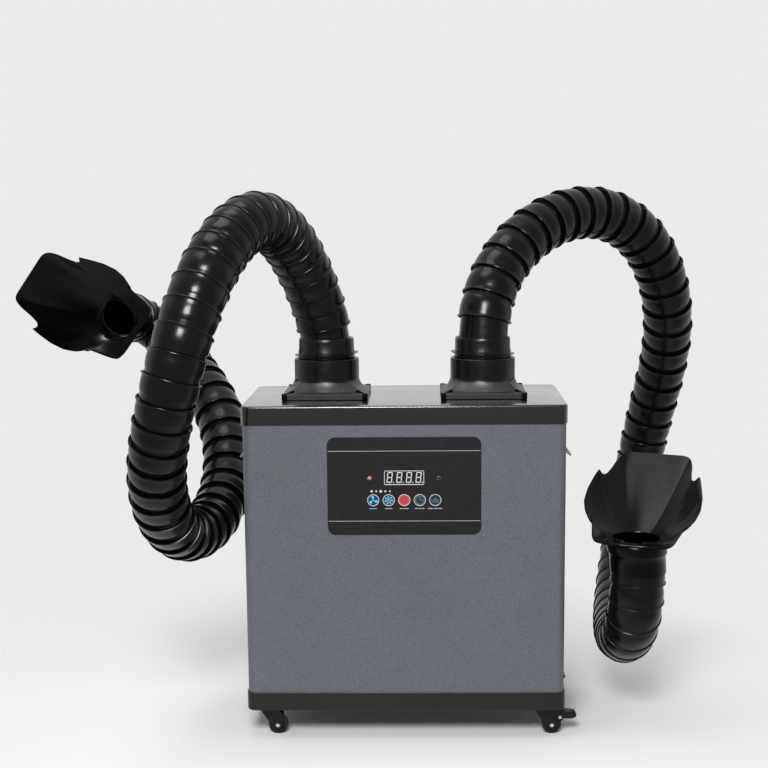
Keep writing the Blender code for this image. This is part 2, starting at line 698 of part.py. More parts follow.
def exhaust_grille():
    low = (GRILLE_LOW[0], REAR_Y + GAP, GRILLE_LOW[1])
    high = (GRILLE_HIGH[0], REAR_Y + GAP + GRILLE_THICK, GRILLE_HIGH[1])
    grille = box("exhaust_grille", low, high, "satin_black", corner=0.006, along=1)
    bm = bmesh.new()
    for n in range(GRILLE_SLOTS):
        z = (low[2] + high[2]) / 2 + (n - (GRILLE_SLOTS - 1) / 2) * GRILLE_PITCH
        add_box(bm, (low[0] + 0.012, 0.1, z - 0.003), (high[0] - 0.012, 0.13, z + 0.003))
    boolean(grille, add_object("grille_slots", mesh_from(bm, "grille_slots")))
    return grille


# ---------------------------------------------------------------- controls
def control_overlay():
    back = FRONT_Y - GAP
    low = (OVERLAY_LOW[0], back - OVERLAY_THICK, OVERLAY_LOW[1])
    high = (OVERLAY_HIGH[0], back, OVERLAY_HIGH[1])
    film = box("control_overlay", low, high, "overlay_film", corner=OVERLAY_CORNER, along=1)
    cut_low = (DISPLAY_LOW[0] - GAP, -0.13, DISPLAY_LOW[1] - GAP)
    boolean(film, box("overlay_display_hole", cut_low, (DISPLAY_HIGH[0] + GAP, -0.1, DISPLAY_HIGH[1] + GAP)))
    for name, x in button_places():
        boolean(film, rod(f"{name}_hole", (x, -0.13, BUTTON_Z), (x, -0.1, BUTTON_Z), BUTTON_HOLE_R, 20))
    for name, x in (("led", LED_X), ("receiver", RECEIVER_X)):
        boolean(film, rod(f"{name}_hole", (x, -0.13, LENS_Z), (x, -0.1, LENS_Z), LENS_HOLE_R, 12))


def button_places():
    return [(name, (n - 2) * BUTTON_PITCH) for n, name in enumerate(BUTTONS)]


def controls():
    control_overlay()
    face = FRONT_Y - GAP - OVERLAY_THICK
    low = (DISPLAY_LOW[0], face, DISPLAY_LOW[1])
    box("display_module", low, (DISPLAY_HIGH[0], BOARD_Y - GAP, DISPLAY_HIGH[1]), "display")
    board_low = (BOARD_LOW[0], BOARD_Y, BOARD_LOW[1])
    board_high = (BOARD_HIGH[0], BOARD_Y + BOARD_THICK, BOARD_HIGH[1])
    board = box("control_board", board_low, board_high, "board_green")
    for name, x in (("led_post", LED_X), ("receiver_post", RECEIVER_X)):
        post = rod(name, (x, face, LENS_Z), (x, BOARD_Y + 0.0005, LENS_Z), LENS_R, 12)
        boolean(board, post, "UNION")
    keys = ("blue_key", "blue_key", "red_key", "grey_key", "blue_key")
    for (name, x), key in zip(button_places(), keys):
        cap = [(0, 0), (BUTTON_R, 0), (BUTTON_R, -BUTTON_DEPTH), (BUTTON_FLANGE_R, -BUTTON_DEPTH)]
        cap += [(BUTTON_FLANGE_R, -BUTTON_DEPTH - 0.002), (0, -BUTTON_DEPTH - 0.002)]
        turned(name, cap, (x, face - BUTTON_PROUD, BUTTON_Z), 20, key, tilt=(math.radians(90), 0, 0))


def power_parts():
    floor = CASTER_HEIGHT + BASE_FLOOR + GAP
    box("power_supply", (0.112, -0.100, floor), (0.200, 0.010, floor + 0.052), "zinc", corner=0.002)
    x, z = INLET
    half_x, half_z = INLET_FLANGE
    low, high = (x - half_x, REAR_Y + GAP, z - half_z), (x + half_x, REAR_Y + 0.003, z + half_z)
    inlet = box("power_inlet", low, high, "satin_black", corner=0.003, along=1)
    half_x, half_z = INLET_BODY
    low, high = (x - half_x, REAR_Y - 0.024, z - half_z), (x + half_x, REAR_Y + 0.002, z + half_z)
    body = box("inlet_body", low, high)
    boolean(inlet, body, "UNION")
    socket = box("inlet_socket", (x + 0.001, REAR_Y - 0.016, z - 0.0085), (x + 0.022, 0.13, z + 0.0085))
    boolean(inlet, socket)
    hole = box("switch_hole", (x - 0.0215, REAR_Y - 0.010, z - 0.0102), (x - 0.0075, 0.13, z + 0.0102))
    boolean(inlet, hole)
    pivot = Vector((x - 0.0145, REAR_Y, z))
    side_view = ((0.0034, -0.0088), (0.0022, 0), (0.0034, 0.0088), (-0.005, 0.0080), (-0.005, -0.0080))
    bm = bmesh.new()
    half = 0.0062
    points = [pivot + Vector((-half, y, z_up)) for y, z_up in side_view]
    extrude_face(bm, points, (2 * half, 0, 0))
    rocker = add_object("rocker_switch", mesh_from(bm, "rocker_switch"), "grey_plastic", pivot)
    rocker.rotation_euler = (math.radians(-ROCKER_TILT), 0, 0)


# ---------------------------------------------------------------- latches
def latch(side, sign):
    """A clip on the side wall: its hooked top grips the lid's keeper, and its finger tab stands out."""
    wall = WIDTH / 2 - PANEL_INSET + GAP
    base_face = wall + LATCH_BASE_THICK

    def across(a, b):
        return sorted((sign * a, sign * b))

    x_low, x_high = across(wall, base_face)
    low, high = (x_low, -LATCH_BASE_HALF, LATCH_BASE_LOW), (x_high, LATCH_BASE_HALF, LATCH_BASE_HIGH)
    base = box(f"latch_base_{side}", low, high, "zinc")
    pivot_x = sign * (wall + LATCH_PIVOT_OUT)
    for end, y in (("front", -LATCH_EAR_Y), ("rear", LATCH_EAR_Y)):
        ear_low, ear_high = across(wall + 0.001, wall + LATCH_PIVOT_OUT + 0.002)
        ear = box(f"latch_ear_{side}_{end}", (ear_low, y - 0.001, LATCH_PIVOT_Z - 0.003),
                  (ear_high, y + 0.001, LATCH_PIVOT_Z + 0.003))
        boolean(base, ear, "UNION")
    out = wall + LATCH_PIVOT_OUT
    outline = (
        (out - 0.0018, LATCH_PIVOT_Z - 0.0020), (out + 0.0085, LATCH_PIVOT_Z - 0.0100),
        (out + 0.0105, LATCH_PIVOT_Z - 0.0085), (out + 0.0020, LATCH_PIVOT_Z + 0.0035),
        (out + 0.0014, LATCH_HOOK_TOP), (WIDTH / 2 + 0.0006, LATCH_HOOK_TOP),
        (WIDTH / 2 + 0.0006, LATCH_HOOK_UNDER), (out - 0.0004, LATCH_HOOK_UNDER),
        (out - 0.0004, LATCH_PIVOT_Z + 0.0050), (out - 0.0018, LATCH_PIVOT_Z + 0.0020),
    )
    points = [(sign * x, z) for x, z in outline]
    half, pivot = LATCH_LEVER_HALF, (pivot_x, 0, LATCH_PIVOT_Z)
    plate(f"latch_lever_{side}", points, -half, half, "zinc", pivot=pivot)


# ---------------------------------------------------------------- casters
def caster(place, x, y, braked):
    """A swivel plate, a fork that trails towards +X, its wheel, and on braked ones a foot pedal."""
    top = CASTER_HEIGHT - GAP
    half, under = CASTER_PLATE_HALF, top - CASTER_PLATE_THICK
    low, high = (x - half, y - half, under), (x + half, y + half, top)
    mount = box(f"caster_plate_{place}", low, high, "zinc", corner=0.003)
    boolean(mount, rod(f"plate_hole_{place}", (x, y, 0.03), (x, y, 0.05), 0.0045, 12))
    disc_top = under - GAP
    disc_low, disc_high = (x, y, disc_top - FORK_DISC), (x, y, disc_top)
    fork = rod(f"caster_fork_{place}", disc_low, disc_high, FORK_R, 20, "black_paint", pivot=(x, y, top))
    kingpin = rod(f"kingpin_{place}", (x, y, disc_top - 0.002), (x, y, top - GAP), KINGPIN_R, 12)
    boolean(fork, kingpin, "UNION")
    axle_x = x + CASTER_TRAIL
    if braked:
        cheek = ((-0.0115, 0.0345), (0.0262, 0.0345), (0.0270, 0.0230), (0.0175, 0.0080), (0.0070, 0.0080))
    else:
        cheek = ((-0.0115, 0.0345), (0.0115, 0.0345), (0.0175, 0.0190), (0.0165, 0.0080), (0.0070, 0.0080))
    for end, y_low in (("front", y - CHEEK_Y), ("rear", y + CHEEK_Y - CHEEK_THICK)):
        outline = [(x + along, z) for along, z in cheek]
        boolean(fork, plate(f"cheek_{place}_{end}", outline, y_low, y_low + CHEEK_THICK), "UNION")
    web_high = 0.0262 if braked else 0.0115
    web = box(f"web_{place}", (x - 0.0115, y - 0.0100, 0.0320), (x + web_high, y + 0.0100, 0.0355))
    boolean(fork, web, "UNION")
    front, rear = (axle_x, y - 0.02, WHEEL_R), (axle_x, y + 0.02, WHEEL_R)
    boolean(fork, rod(f"axle_hole_{place}", front, rear, AXLE_R + 0.0006, 12))
    wheel(place, axle_x, y)
    if braked:
        pivot = Vector((x + BRAKE_PIVOT[0], y, BRAKE_PIVOT[1]))
        start, end = pivot - Vector((0, 0.02, 0)), pivot + Vector((0, 0.02, 0))
        boolean(fork, rod(f"brake_hole_{place}", start, end, 0.0027, 12))
        brake_pedal(place, pivot)


def wheel(place, x, y):
    sides = 24
    flat = WHEEL_R / math.cos(math.pi / sides)
    half = WHEEL_WIDTH / 2
    turn = math.pi / sides
    front, rear, centre = (x, y - half, WHEEL_R), (x, y + half, WHEEL_R), (x, y, WHEEL_R)
    tread = rod(f"caster_wheel_{place}", front, rear, flat, sides, "rubber", pivot=centre, turn=turn)
    axle = rod(f"axle_{place}", (x, y - 0.0120, WHEEL_R), (x, y + 0.0120, WHEEL_R), AXLE_R, 12)
    boolean(tread, axle, "UNION")


def brake_pedal(place, pivot):
    """A pivot pin across the fork and a foot plate that slopes away from it."""
    x, y, z = pivot
    side_view = (
        (-0.0020, 0.0005), (-0.0010, 0.0032), (0.0060, 0.0066), (0.0220, 0.0040), (0.0225, 0.0005),
        (0.0160, -0.0030), (0.0030, -0.0022),
    )
    outline = [(x + along, z + up) for along, up in side_view]
    low, high = y - PEDAL_HALF, y + PEDAL_HALF
    pedal = plate(f"brake_pedal_{place}", outline, low, high, "satin_black", pivot=pivot)
    pin = rod(f"brake_pin_{place}", (x, y - 0.0118, z), (x, y + 0.0118, z), 0.0022, 12)
    boolean(pedal, pin, "UNION")


# ---------------------------------------------------------------- assembly
def arms():
    for side, points, count, inlet_way, wall_way in (
        ("left", LEFT_ROUTE, LEFT_LINKS, LEFT_HOOD_Z, LEFT_HOOD_Y),
        ("right", RIGHT_ROUTE, RIGHT_LINKS, RIGHT_HOOD_Z, RIGHT_HOOD_Y),
    ):
        flange(f"{side}_flange", -DUCT_X if side == "left" else DUCT_X)
        way = Vector(inlet_way).normalized()
        duct_links(side, points, count, way)
        end = Vector(points[-1])
        hood(f"{side}_hood", end + way * (COLLAR_LENGTH + 0.0005), way, wall_way, end)


def build():
    base_tray()
    cabinet_wrap()
    rear_panel()
    lid()
    filter_stack()
    blower()
    exhaust_grille()
    controls()
    power_parts()
    latch("left", -1)
    latch("right", 1)
    caster("front_left", -CASTER_X, -CASTER_Y, False)
    caster("front_right", CASTER_X, -CASTER_Y, True)
    caster("rear_left", -CASTER_X, CASTER_Y, False)
    caster("rear_right", CASTER_X, CASTER_Y, True)
    arms()


build()
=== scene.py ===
"""The looks of a solder fume extractor: a wheeled filter cabinet with two ribbed ducts and scoop hoods.

Metres, +Z up. Numbers below are in the cabinet's own frame: its middle at x = 0 and y = 0, the floor at
z = 0, the control panel towards -Y. add_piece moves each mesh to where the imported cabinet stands.
"""

import json
import math
import random

import bmesh
import bpy
from mathutils import Matrix, Vector


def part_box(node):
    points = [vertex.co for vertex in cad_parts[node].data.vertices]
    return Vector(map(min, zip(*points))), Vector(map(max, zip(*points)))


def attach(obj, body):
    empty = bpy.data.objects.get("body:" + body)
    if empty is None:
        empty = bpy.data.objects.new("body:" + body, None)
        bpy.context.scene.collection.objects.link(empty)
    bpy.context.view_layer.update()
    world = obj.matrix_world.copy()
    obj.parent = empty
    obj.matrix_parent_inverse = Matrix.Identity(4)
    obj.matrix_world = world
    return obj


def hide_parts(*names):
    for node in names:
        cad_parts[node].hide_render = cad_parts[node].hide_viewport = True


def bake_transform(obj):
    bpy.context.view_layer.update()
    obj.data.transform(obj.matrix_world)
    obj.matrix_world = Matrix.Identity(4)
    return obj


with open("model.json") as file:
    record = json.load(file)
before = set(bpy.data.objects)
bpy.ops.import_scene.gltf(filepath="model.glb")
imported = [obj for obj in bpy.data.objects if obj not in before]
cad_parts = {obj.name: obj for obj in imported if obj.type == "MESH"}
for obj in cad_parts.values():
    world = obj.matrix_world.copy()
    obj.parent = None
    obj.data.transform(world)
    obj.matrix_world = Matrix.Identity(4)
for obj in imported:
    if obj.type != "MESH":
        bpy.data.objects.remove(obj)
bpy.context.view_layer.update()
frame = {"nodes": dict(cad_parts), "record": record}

WRAP_LOW, WRAP_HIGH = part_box("cabinet_wrap")
CABINET = Vector(((WRAP_LOW.x + WRAP_HIGH.x) / 2, (WRAP_LOW.y + WRAP_HIGH.y) / 2, 0))
BODY_HALF_X = (WRAP_HIGH.x - WRAP_LOW.x) / 2
BODY_HALF_Y = (WRAP_HIGH.y - WRAP_LOW.y) / 2
FRONT_Y = -BODY_HALF_Y
X_AXIS = Vector((1, 0, 0))
Y_AXIS = Vector((0, 1, 0))
Z_AXIS = Vector((0, 0, 1))

# ---------------- sizes
WIDTH = 0.430
DEPTH = 0.230
HEIGHT = 0.455
BASE_LOW = 0.0395
BASE_BAND = 0.0260
LID_BAND = 0.025
CORNER_R = 0.012
SHEET = 0.0015
DUCT_X = 0.107

DUCT_SIDES = 48
RIM_R = 0.0377
NECK_R = 0.0321
INNER_R = 0.0300
INNER_STEP = 0.012
# A duct's surface starts this far along its route and ends this far past it, inside the hood's collar
DUCT_START = 0.010
DUCT_PAST_END = 0.020
# How far a cup's neck reaches into the next cup's mouth
MOUTH_DEPTH = 0.0030
# The blend between two links reaches this much route on each side of the hinge
BEND_REACH = 0.050
LAST_BEND_REACH = 0.035
# The rims stand a little crooked, by up to this slope
RIM_SLOPE = 0.022
LEFT_ROUTE = (
    (-0.107, 0.000, 0.515), (-0.110, -0.001, 0.555), (-0.124, -0.020, 0.607), (-0.150, -0.072, 0.674),
    (-0.184, -0.145, 0.708), (-0.222, -0.207, 0.668), (-0.248, -0.255, 0.606), (-0.269, -0.283, 0.537),
    (-0.286, -0.283, 0.470), (-0.303, -0.258, 0.403), (-0.310, -0.205, 0.341), (-0.303, -0.130, 0.289),
    (-0.290, -0.042, 0.266), (-0.272, 0.040, 0.274), (-0.263, 0.105, 0.308), (-0.266, 0.158, 0.352),
    (-0.281, 0.200, 0.396), (-0.305, 0.240, 0.430), (-0.334, 0.290, 0.455), (-0.360, 0.352, 0.474),
    (-0.383, 0.408, 0.493), (-0.414, 0.433, 0.512), (-0.442, 0.421, 0.530), (-0.452, 0.392, 0.540),
    (-0.453, 0.354, 0.542),
)
RIGHT_ROUTE = (
    (0.107, 0.000, 0.515), (0.108, 0.003, 0.558), (0.120, 0.018, 0.608), (0.150, 0.045, 0.653),
    (0.192, 0.078, 0.685), (0.241, 0.115, 0.702), (0.292, 0.147, 0.699), (0.338, 0.173, 0.673),
    (0.371, 0.197, 0.629), (0.391, 0.222, 0.575), (0.399, 0.257, 0.520), (0.398, 0.292, 0.465),
    (0.389, 0.325, 0.405), (0.377, 0.350, 0.335), (0.364, 0.352, 0.260), (0.348, 0.320, 0.182),
    (0.330, 0.250, 0.122), (0.3155, 0.150, 0.094), (0.3065, 0.040, 0.096), (0.307, -0.045, 0.124),
    (0.3085, -0.088, 0.165), (0.3105, -0.097, 0.198), (0.3115, -0.098, 0.229),
)
# The distance between rims, as (distance along the duct, spacing there)
LEFT_SPACING = (
    (0.030, 0.0300), (0.090, 0.0285), (0.130, 0.0260), (0.170, 0.0250), (0.200, 0.0222), (0.260, 0.0215),
    (0.290, 0.0205), (0.315, 0.0205), (0.330, 0.0250), (0.360, 0.0255), (0.380, 0.0310), (0.450, 0.0300),
    (0.500, 0.0290), (0.620, 0.0275), (0.670, 0.0300), (0.720, 0.0340), (0.800, 0.0360), (0.950, 0.0380),
    (1.050, 0.0360), (1.150, 0.0340), (1.250, 0.0360), (1.400, 0.0340), (1.600, 0.0320),
)
RIGHT_SPACING = (
    (0.040, 0.0305), (0.450, 0.0305), (0.500, 0.0340), (0.600, 0.0365), (0.700, 0.0365), (0.760, 0.0330),
    (0.820, 0.0320), (1.000, 0.0330), (1.250, 0.0370), (1.350, 0.0350), (1.400, 0.0270), (1.450, 0.0250),
)
LEFT_FIRST_RIM = 0.036
RIGHT_FIRST_RIM = 0.043
LEFT_LINKS, LEFT_SEED = 8, 3
RIGHT_LINKS, RIGHT_SEED = 7, 8
# The share of a cup that its barrel takes; the rest is its neck
BARREL_SHARE = 0.78
CUFF_LEAN = math.radians(2.2)

# A flange: its underside, where its duller skirt (painted lighter, as a painted reflection of light from
# above) ends above that, its screws and its corner plugs
FLANGE_LOW = HEIGHT + 0.0003
SKIRT_RISE = 0.0215
SCREW_OUT = 0.0447
SCREW_Z = 0.4608
PLUG_OUT = 0.0543
PLUG_HALF = 0.0036

COLLAR_LENGTH = 0.045
# The collar's outside, as (radius, height below the throat), from its lower end up
COLLAR_PROFILE = (
    (0.0345, -0.0450), (0.0362, -0.0452), (0.0372, -0.0446), (0.0374, -0.0300), (0.0376, -0.0205),
    (0.0392, -0.0190), (0.0398, -0.0175), (0.0402, -0.0080), (0.0400, -0.0045), (0.0375, -0.0022),
)
THROAT_R = 0.032
# The bead inside the throat's edge, in the same terms, from the top down
THROAT_PROFILE = (
    (THROAT_R - 0.0006, 0.0002), (THROAT_R - 0.0010, -0.0006), (THROAT_R - 0.0006, -0.0014),
    (THROAT_R, -0.0018), (THROAT_R, -0.0040), (THROAT_R + 0.0010, -0.0060), (0.0345, -0.0100),
)
HOOD_WALL = 0.0026
# Where the hood's rows of points lie, as shares of the way from the throat to the rim
HOOD_ROWS = (0, 0.04, 0.1, 0.2, 0.32, 0.45, 0.58, 0.7, 0.8, 0.88, 0.94, 0.98, 1.0)
RIM_STEP = 0.0028
SIDE_BULGE = 0.006
# Right half of the hood's rim, from the middle of the short wall to the middle of the long wall,
# each with the angle at which its flow line leaves the round throat
HOOD_RIM = (
    (-90, (0.000, -0.0415, 0.000)), (-62, (0.0365, -0.0415, 0.000)), (-50, (0.0490, -0.0385, 0.0015)),
    (-42, (0.0535, -0.029, 0.004)), (-28, (0.0600, 0.002, 0.0145)), (-26, (0.0612, 0.0065, 0.0162)),
    (-24, (0.0655, 0.009, 0.0175)), (-16, (0.0735, 0.019, 0.0255)), (-6, (0.0782, 0.034, 0.0365)),
    (6, (0.0775, 0.053, 0.0490)), (16, (0.0730, 0.071, 0.0615)), (24, (0.0685, 0.0845, 0.0712)),
    (28, (0.0625, 0.0795, 0.0640)), (32, (0.0578, 0.0830, 0.0645)), (42, (0.0540, 0.096, 0.0710)),
    (52, (0.0510, 0.112, 0.080)), (57, (0.0475, 0.1215, 0.0850)), (60, (0.0430, 0.1262, 0.0878)),
    (64, (0.0370, 0.128, 0.0885)), (90, (0.000, 0.128, 0.0885)),
)
# Behind the rim the far corners are tighter: these points replace the rim's at the same angles
HOOD_FOLD = {57: (0.0486, 0.1258, 0.0878), 60: (0.0464, 0.1278, 0.0885)}
FOLD_START = 0.72
# The long wall leans this far to the right of the hood's middle at its edge
WALL_SKEW = 0.004
# How far the right hood's collar stands to the right of its throat at its lower end
COLLAR_SHIFT = 0.0045
LEFT_HOOD_AXES = ((-0.160, -0.983, -0.085), (-0.790, 0.076, 0.608))
RIGHT_HOOD_AXES = ((0.020, -0.050, 0.999), (0.287, 0.957, 0.042))

OVERLAY_LOW = (-0.1015, 0.283)
OVERLAY_HIGH = (0.1015, 0.4135)
OVERLAY_FACE = FRONT_Y - 0.0013
OVERLAY_THICK = 0.0010
# The cutters for the panel's holes run between these, in front of the film and behind it
PANEL_CUT = (-0.13, -0.10)
DISPLAY_LOW = (-0.0263, 0.350)
DISPLAY_HIGH = (0.0263, 0.369)
BUTTON_Z = 0.3295
BUTTON_PITCH = 0.0205
BUTTON_R = 0.008
HAIRLINE_Z = (0.3952, 0.3014)
BUTTONS = ("fan_down_button", "fan_up_button", "power_button", "timer_button", "mode_button")
LABEL_HALF_WIDTHS = (0.0052, 0.0050, 0.0062, 0.0066, 0.0098)
LED_X = 0.0455
LENS_Z = 0.3592

CASTER_X = 0.187
CASTER_Y = 0.087
CASTER_TRAIL = 0.0115
WHEEL_R = 0.013
# The round end of a fork's cheek, about the axle
CHEEK_R = 0.0072

# The room's brightness, its darkest share towards the front, and the camera that took the photo
ROOM_COLOUR = (0.835, 0.826, 0.826, 1)
DIM_FRONT = 0.48
CAMERA_PLACE = Vector((0.0334, -2.1233, 0.7198))
CAMERA_PITCH = math.radians(9.875)
CAMERA_ROLL = math.radians(-0.561)
CAMERA_YAW = math.radians(1.704)
CAMERA_LENS = 72.65625
CAMERA_SHIFT = 0.112

SCENE = bpy.context.scene
MODEL = bpy.data.collections.new("solder_fume_extractor_looks")
SCENE.collection.children.link(MODEL)


# ---------------- materials
def link(tree, a, b):
    tree.links.new(a, b)


def set_inputs(node, values):
    for socket, value in values.items():
        node.inputs[socket].default_value = value


def noise(tree, coords, scale, detail=3.0):
    node = tree.nodes.new("ShaderNodeTexNoise")
    set_inputs(node, {"Scale": scale, "Detail": detail})
    link(tree, coords, node.inputs["Vector"])
    return node.outputs["Fac"]


def ramp(tree, value, low, high, start=0.3, end=0.7):
    """A value between start and end turned into one between low and high."""
    node = tree.nodes.new("ShaderNodeMapRange")
    set_inputs(node, {"From Min": start, "From Max": end, "To Min": low, "To Max": high})
    link(tree, value, node.inputs["Value"])
    return node.outputs["Result"]


def speckled(tree, colour, grain, strength):
    """The colour with a fine grain laid over it, lighter and darker."""
    dots = tree.nodes.new("ShaderNodeMix")
    dots.data_type = "RGBA"
    dots.blend_type = "OVERLAY"
    link(tree, colour, dots.inputs["A"])
    tone = tree.nodes.new("ShaderNodeCombineColor")
    value = ramp(tree, grain, 0.5 - strength, 0.5 + strength, 0.35, 0.65)
    for channel in ("Red", "Green", "Blue"):
        link(tree, value, tone.inputs[channel])
    link(tree, tone.outputs["Color"], dots.inputs["B"])
    dots.inputs["Factor"].default_value = 1.0
    return dots.outputs["Result"]


def surface(
    name, colour, rough, vary, grain, fine, bump,
    metallic=0.0, coat=0.0, spread=0.06, specks=0.0, specular=0.5,
):
    """A material whose colour drifts slowly, with fine grain in its relief and unevenness in its gloss."""
    material = bpy.data.materials.new(name)
    material.use_nodes = True
    tree = material.node_tree
    shader = tree.nodes["Principled BSDF"]
    set_inputs(shader, {"Metallic": metallic, "Specular IOR Level": specular})
    set_inputs(shader, {"Coat Weight": coat, "Coat Roughness": 0.12})
    coords = tree.nodes.new("ShaderNodeTexCoord").outputs["Object"]
    slow, quick = noise(tree, coords, grain), noise(tree, coords, fine, 2.0)
    mix = tree.nodes.new("ShaderNodeMix")
    mix.data_type = "RGBA"
    mix.inputs["A"].default_value = (*[c * (1 - vary) for c in colour], 1)
    mix.inputs["B"].default_value = (*[min(1, c * (1 + vary)) for c in colour], 1)
    link(tree, ramp(tree, slow, 0, 1), mix.inputs["Factor"])
    result = mix.outputs["Result"]
    if specks:
        result = speckled(tree, result, quick, specks)
    link(tree, result, shader.inputs["Base Color"])
    gloss = ramp(tree, noise(tree, coords, grain * 3), rough - spread, rough + spread)
    link(tree, gloss, shader.inputs["Roughness"])
    relief = tree.nodes.new("ShaderNodeBump")
    set_inputs(relief, {"Strength": bump, "Distance": 0.0004})
    link(tree, quick, relief.inputs["Height"])
    link(tree, relief.outputs["Normal"], shader.inputs["Normal"])
    return material


def srgb(red, green, blue):
    """Linear colour for 0-255 screen values."""
    shares = (red / 255, green / 255, blue / 255)
    return tuple(((v + 0.055) / 1.055) ** 2.4 if v > 10 / 255 else v / 12.92 for v in shares)


LOOKS = {
    "body_paint": surface("body_paint_look", srgb(79, 83, 89), 0.50, 0.06, 9, 700, 0.30, specks=0.11),
    "black_paint": surface(
        "black_paint_look", srgb(15, 14, 14), 0.20, 0.10, 20, 1300, 0.05, specks=0.10, coat=0.6, spread=0.03
    ),
    "duct_plastic": surface(
        "duct_plastic_look", srgb(9, 9, 9), 0.22, 0.25, 35, 700, 0.05, spread=0.05, specular=0.22
    ),
    "flange_plastic": surface("flange_plastic_look", srgb(8, 8, 8), 0.28, 0.2, 40, 800, 0.04, specular=0.25),
    "hood_plastic": surface(
        "hood_plastic_look", srgb(1, 1, 1), 0.24, 0.2, 30, 1200, 0.02, spread=0.02, specular=0.17
    ),
    "overlay_film": surface("overlay_film_look", srgb(25, 24, 26), 0.42, 0.05, 30, 1500, 0.05, specular=0.2),
    "display": surface("display_look", srgb(18, 18, 21), 0.12, 0.1, 60, 500, 0.01),
    "blue_key": surface("blue_key_look", srgb(8, 46, 88), 0.35, 0.25, 160, 900, 0.03),
    "red_key": surface("red_key_look", srgb(172, 50, 52), 0.35, 0.12, 160, 900, 0.03),
    "grey_key": surface("grey_key_look", srgb(22, 32, 36), 0.35, 0.25, 160, 900, 0.03),
    "board": surface("board_look", srgb(20, 92, 50), 0.45, 0.2, 80, 700, 0.1),
    "filter_card": surface("filter_card_look", srgb(170, 150, 118), 0.85, 0.12, 60, 900, 0.3),
    "filter_mat": surface("filter_mat_look", srgb(214, 214, 208), 0.95, 0.08, 90, 600, 0.8),
    "zinc_sheet": surface("zinc_look", srgb(178, 180, 182), 0.32, 0.08, 60, 400, 0.08, metallic=1.0),
    "motor_steel": surface("motor_look", srgb(150, 150, 154), 0.38, 0.1, 60, 500, 0.1, metallic=1.0),
    "impeller_plastic": surface("impeller_look", srgb(62, 62, 66), 0.45, 0.1, 60, 900, 0.08),
    "supply_case": surface("supply_look", srgb(186, 188, 190), 0.35, 0.06, 60, 400, 0.08, metallic=1.0),
    "satin_plastic": surface("satin_plastic_look", srgb(8, 8, 8), 0.34, 0.2, 60, 1100, 0.08, specular=0.3),
    "wheel_rubber": surface("rubber_look", srgb(9, 9, 9), 0.40, 0.2, 120, 900, 0.10, specular=0.3),
}
# The base pan and the caster forks are sprayed black without the lid's clear coat
BASE_PAINT = surface("base_paint_look", srgb(24, 22, 22), 0.42, 0.10, 20, 1300, 0.05, specular=0.3)
FORK_PAINT = surface("fork_paint_look", srgb(6, 6, 6), 0.36, 0.15, 60, 1300, 0.05, specular=0.25)
# The plate and skirt of a flange are duller than its neck, and painted lighter than it as a painted
# reflection of the light from above
FLANGE_SKIRT_PAINTED_SHEEN = surface("flange_skirt_painted_sheen_look", srgb(26, 26, 27), 0.42, 0.12, 40, 900, 0.06, specular=0.5)
PRINT_WHITE = surface("print_white", srgb(176, 178, 180), 0.45, 0.05, 200, 1200, 0.02)
PRINT_GREY = surface("print_grey", srgb(150, 152, 155), 0.45, 0.08, 200, 1200, 0.02)
PRINT_CYAN = surface("print_cyan", srgb(74, 176, 210), 0.4, 0.15, 300, 1200, 0.02)
PRINT_TEAL = surface("print_teal", srgb(92, 170, 178), 0.4, 0.2, 300, 1200, 0.02)
PRINT_DIM = surface("print_dim", srgb(84, 118, 136), 0.4, 0.15, 300, 1200, 0.02)
SEGMENT = surface("display_segment", srgb(192, 192, 196), 0.4, 0.08, 300, 1200, 0.02)
LED_RED = surface("led_red", srgb(206, 92, 104), 0.2, 0.25, 200, 900, 0.02)
RIVET = surface("rivet_zinc", srgb(216, 218, 220), 0.3, 0.1, 200, 900, 0.05, metallic=1.0)
PLUG_BLACK = surface("plug_black", srgb(2, 2, 2), 0.5, 0.2, 200, 900, 0.05, specular=0.05)


# ---------------- mesh helpers
def finish_mesh(bm, name):
    bmesh.ops.recalc_face_normals(bm, faces=bm.faces)
    mesh = bpy.data.meshes.new(name)
    bm.to_mesh(mesh)
    bm.free()
    return mesh


def add_piece(name, bm, look, body, replaces=(), slot=None, angle=32, blend=None):
    """Make a piece of a mesh drawn in the cabinet's frame; it rides on a body, or, given a blend, stays
    fixed where it is drawn.
    """
    mesh = finish_mesh(bm, name)
    mesh.transform(Matrix.Translation(CABINET))
    for material in look if isinstance(look, list) else [look]:
        mesh.materials.append(material)
    mesh.shade_smooth()
    mesh.set_sharp_from_angle(angle=math.radians(angle))
    obj = bpy.data.objects.new(name, mesh)
    MODEL.objects.link(obj)
    if blend:
        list(blend[:2])
        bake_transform(obj)
    else:
        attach(obj, body)
    if replaces:
        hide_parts(*replaces)
    return obj


def cut_holes(obj, holes):
    """Cut a mesh drawn in the cabinet's frame out of a piece, now, and remove the cutter."""
    name = f"{obj.name}_holes"
    cutter = bpy.data.objects.new(name, finish_mesh(holes, name))
    cutter.data.transform(Matrix.Translation(CABINET))
    SCENE.collection.objects.link(cutter)
    modifier = obj.modifiers.new("cut", "BOOLEAN")
    modifier.operation = "DIFFERENCE"
    modifier.object = cutter
    bpy.context.view_layer.update()
    graph = bpy.context.evaluated_depsgraph_get()
    mesh = bpy.data.meshes.new_from_object(obj.evaluated_get(graph))
    obj.modifiers.clear()
    obj.data = mesh
    bpy.data.objects.remove(cutter)


def loft_into(bm, rings, closed=True, material=0, caps=False):
    """Bridge rings of equal length; closed joins the last ring to the first."""
    made = [[bm.verts.new(point) for point in ring] for ring in rings]
    pairs = list(zip(made, made[1:]))
    if closed:
        pairs.append((made[-1], made[0]))
    for here, there in pairs:
        for i in range(len(here)):
            j = (i + 1) % len(here)
            face = bm.faces.new((here[i], here[j], there[j], there[i]))
            face.material_index = material
    if caps:
        for ring in (made[0], made[-1]):
            bm.faces.new(ring).material_index = material
    return made


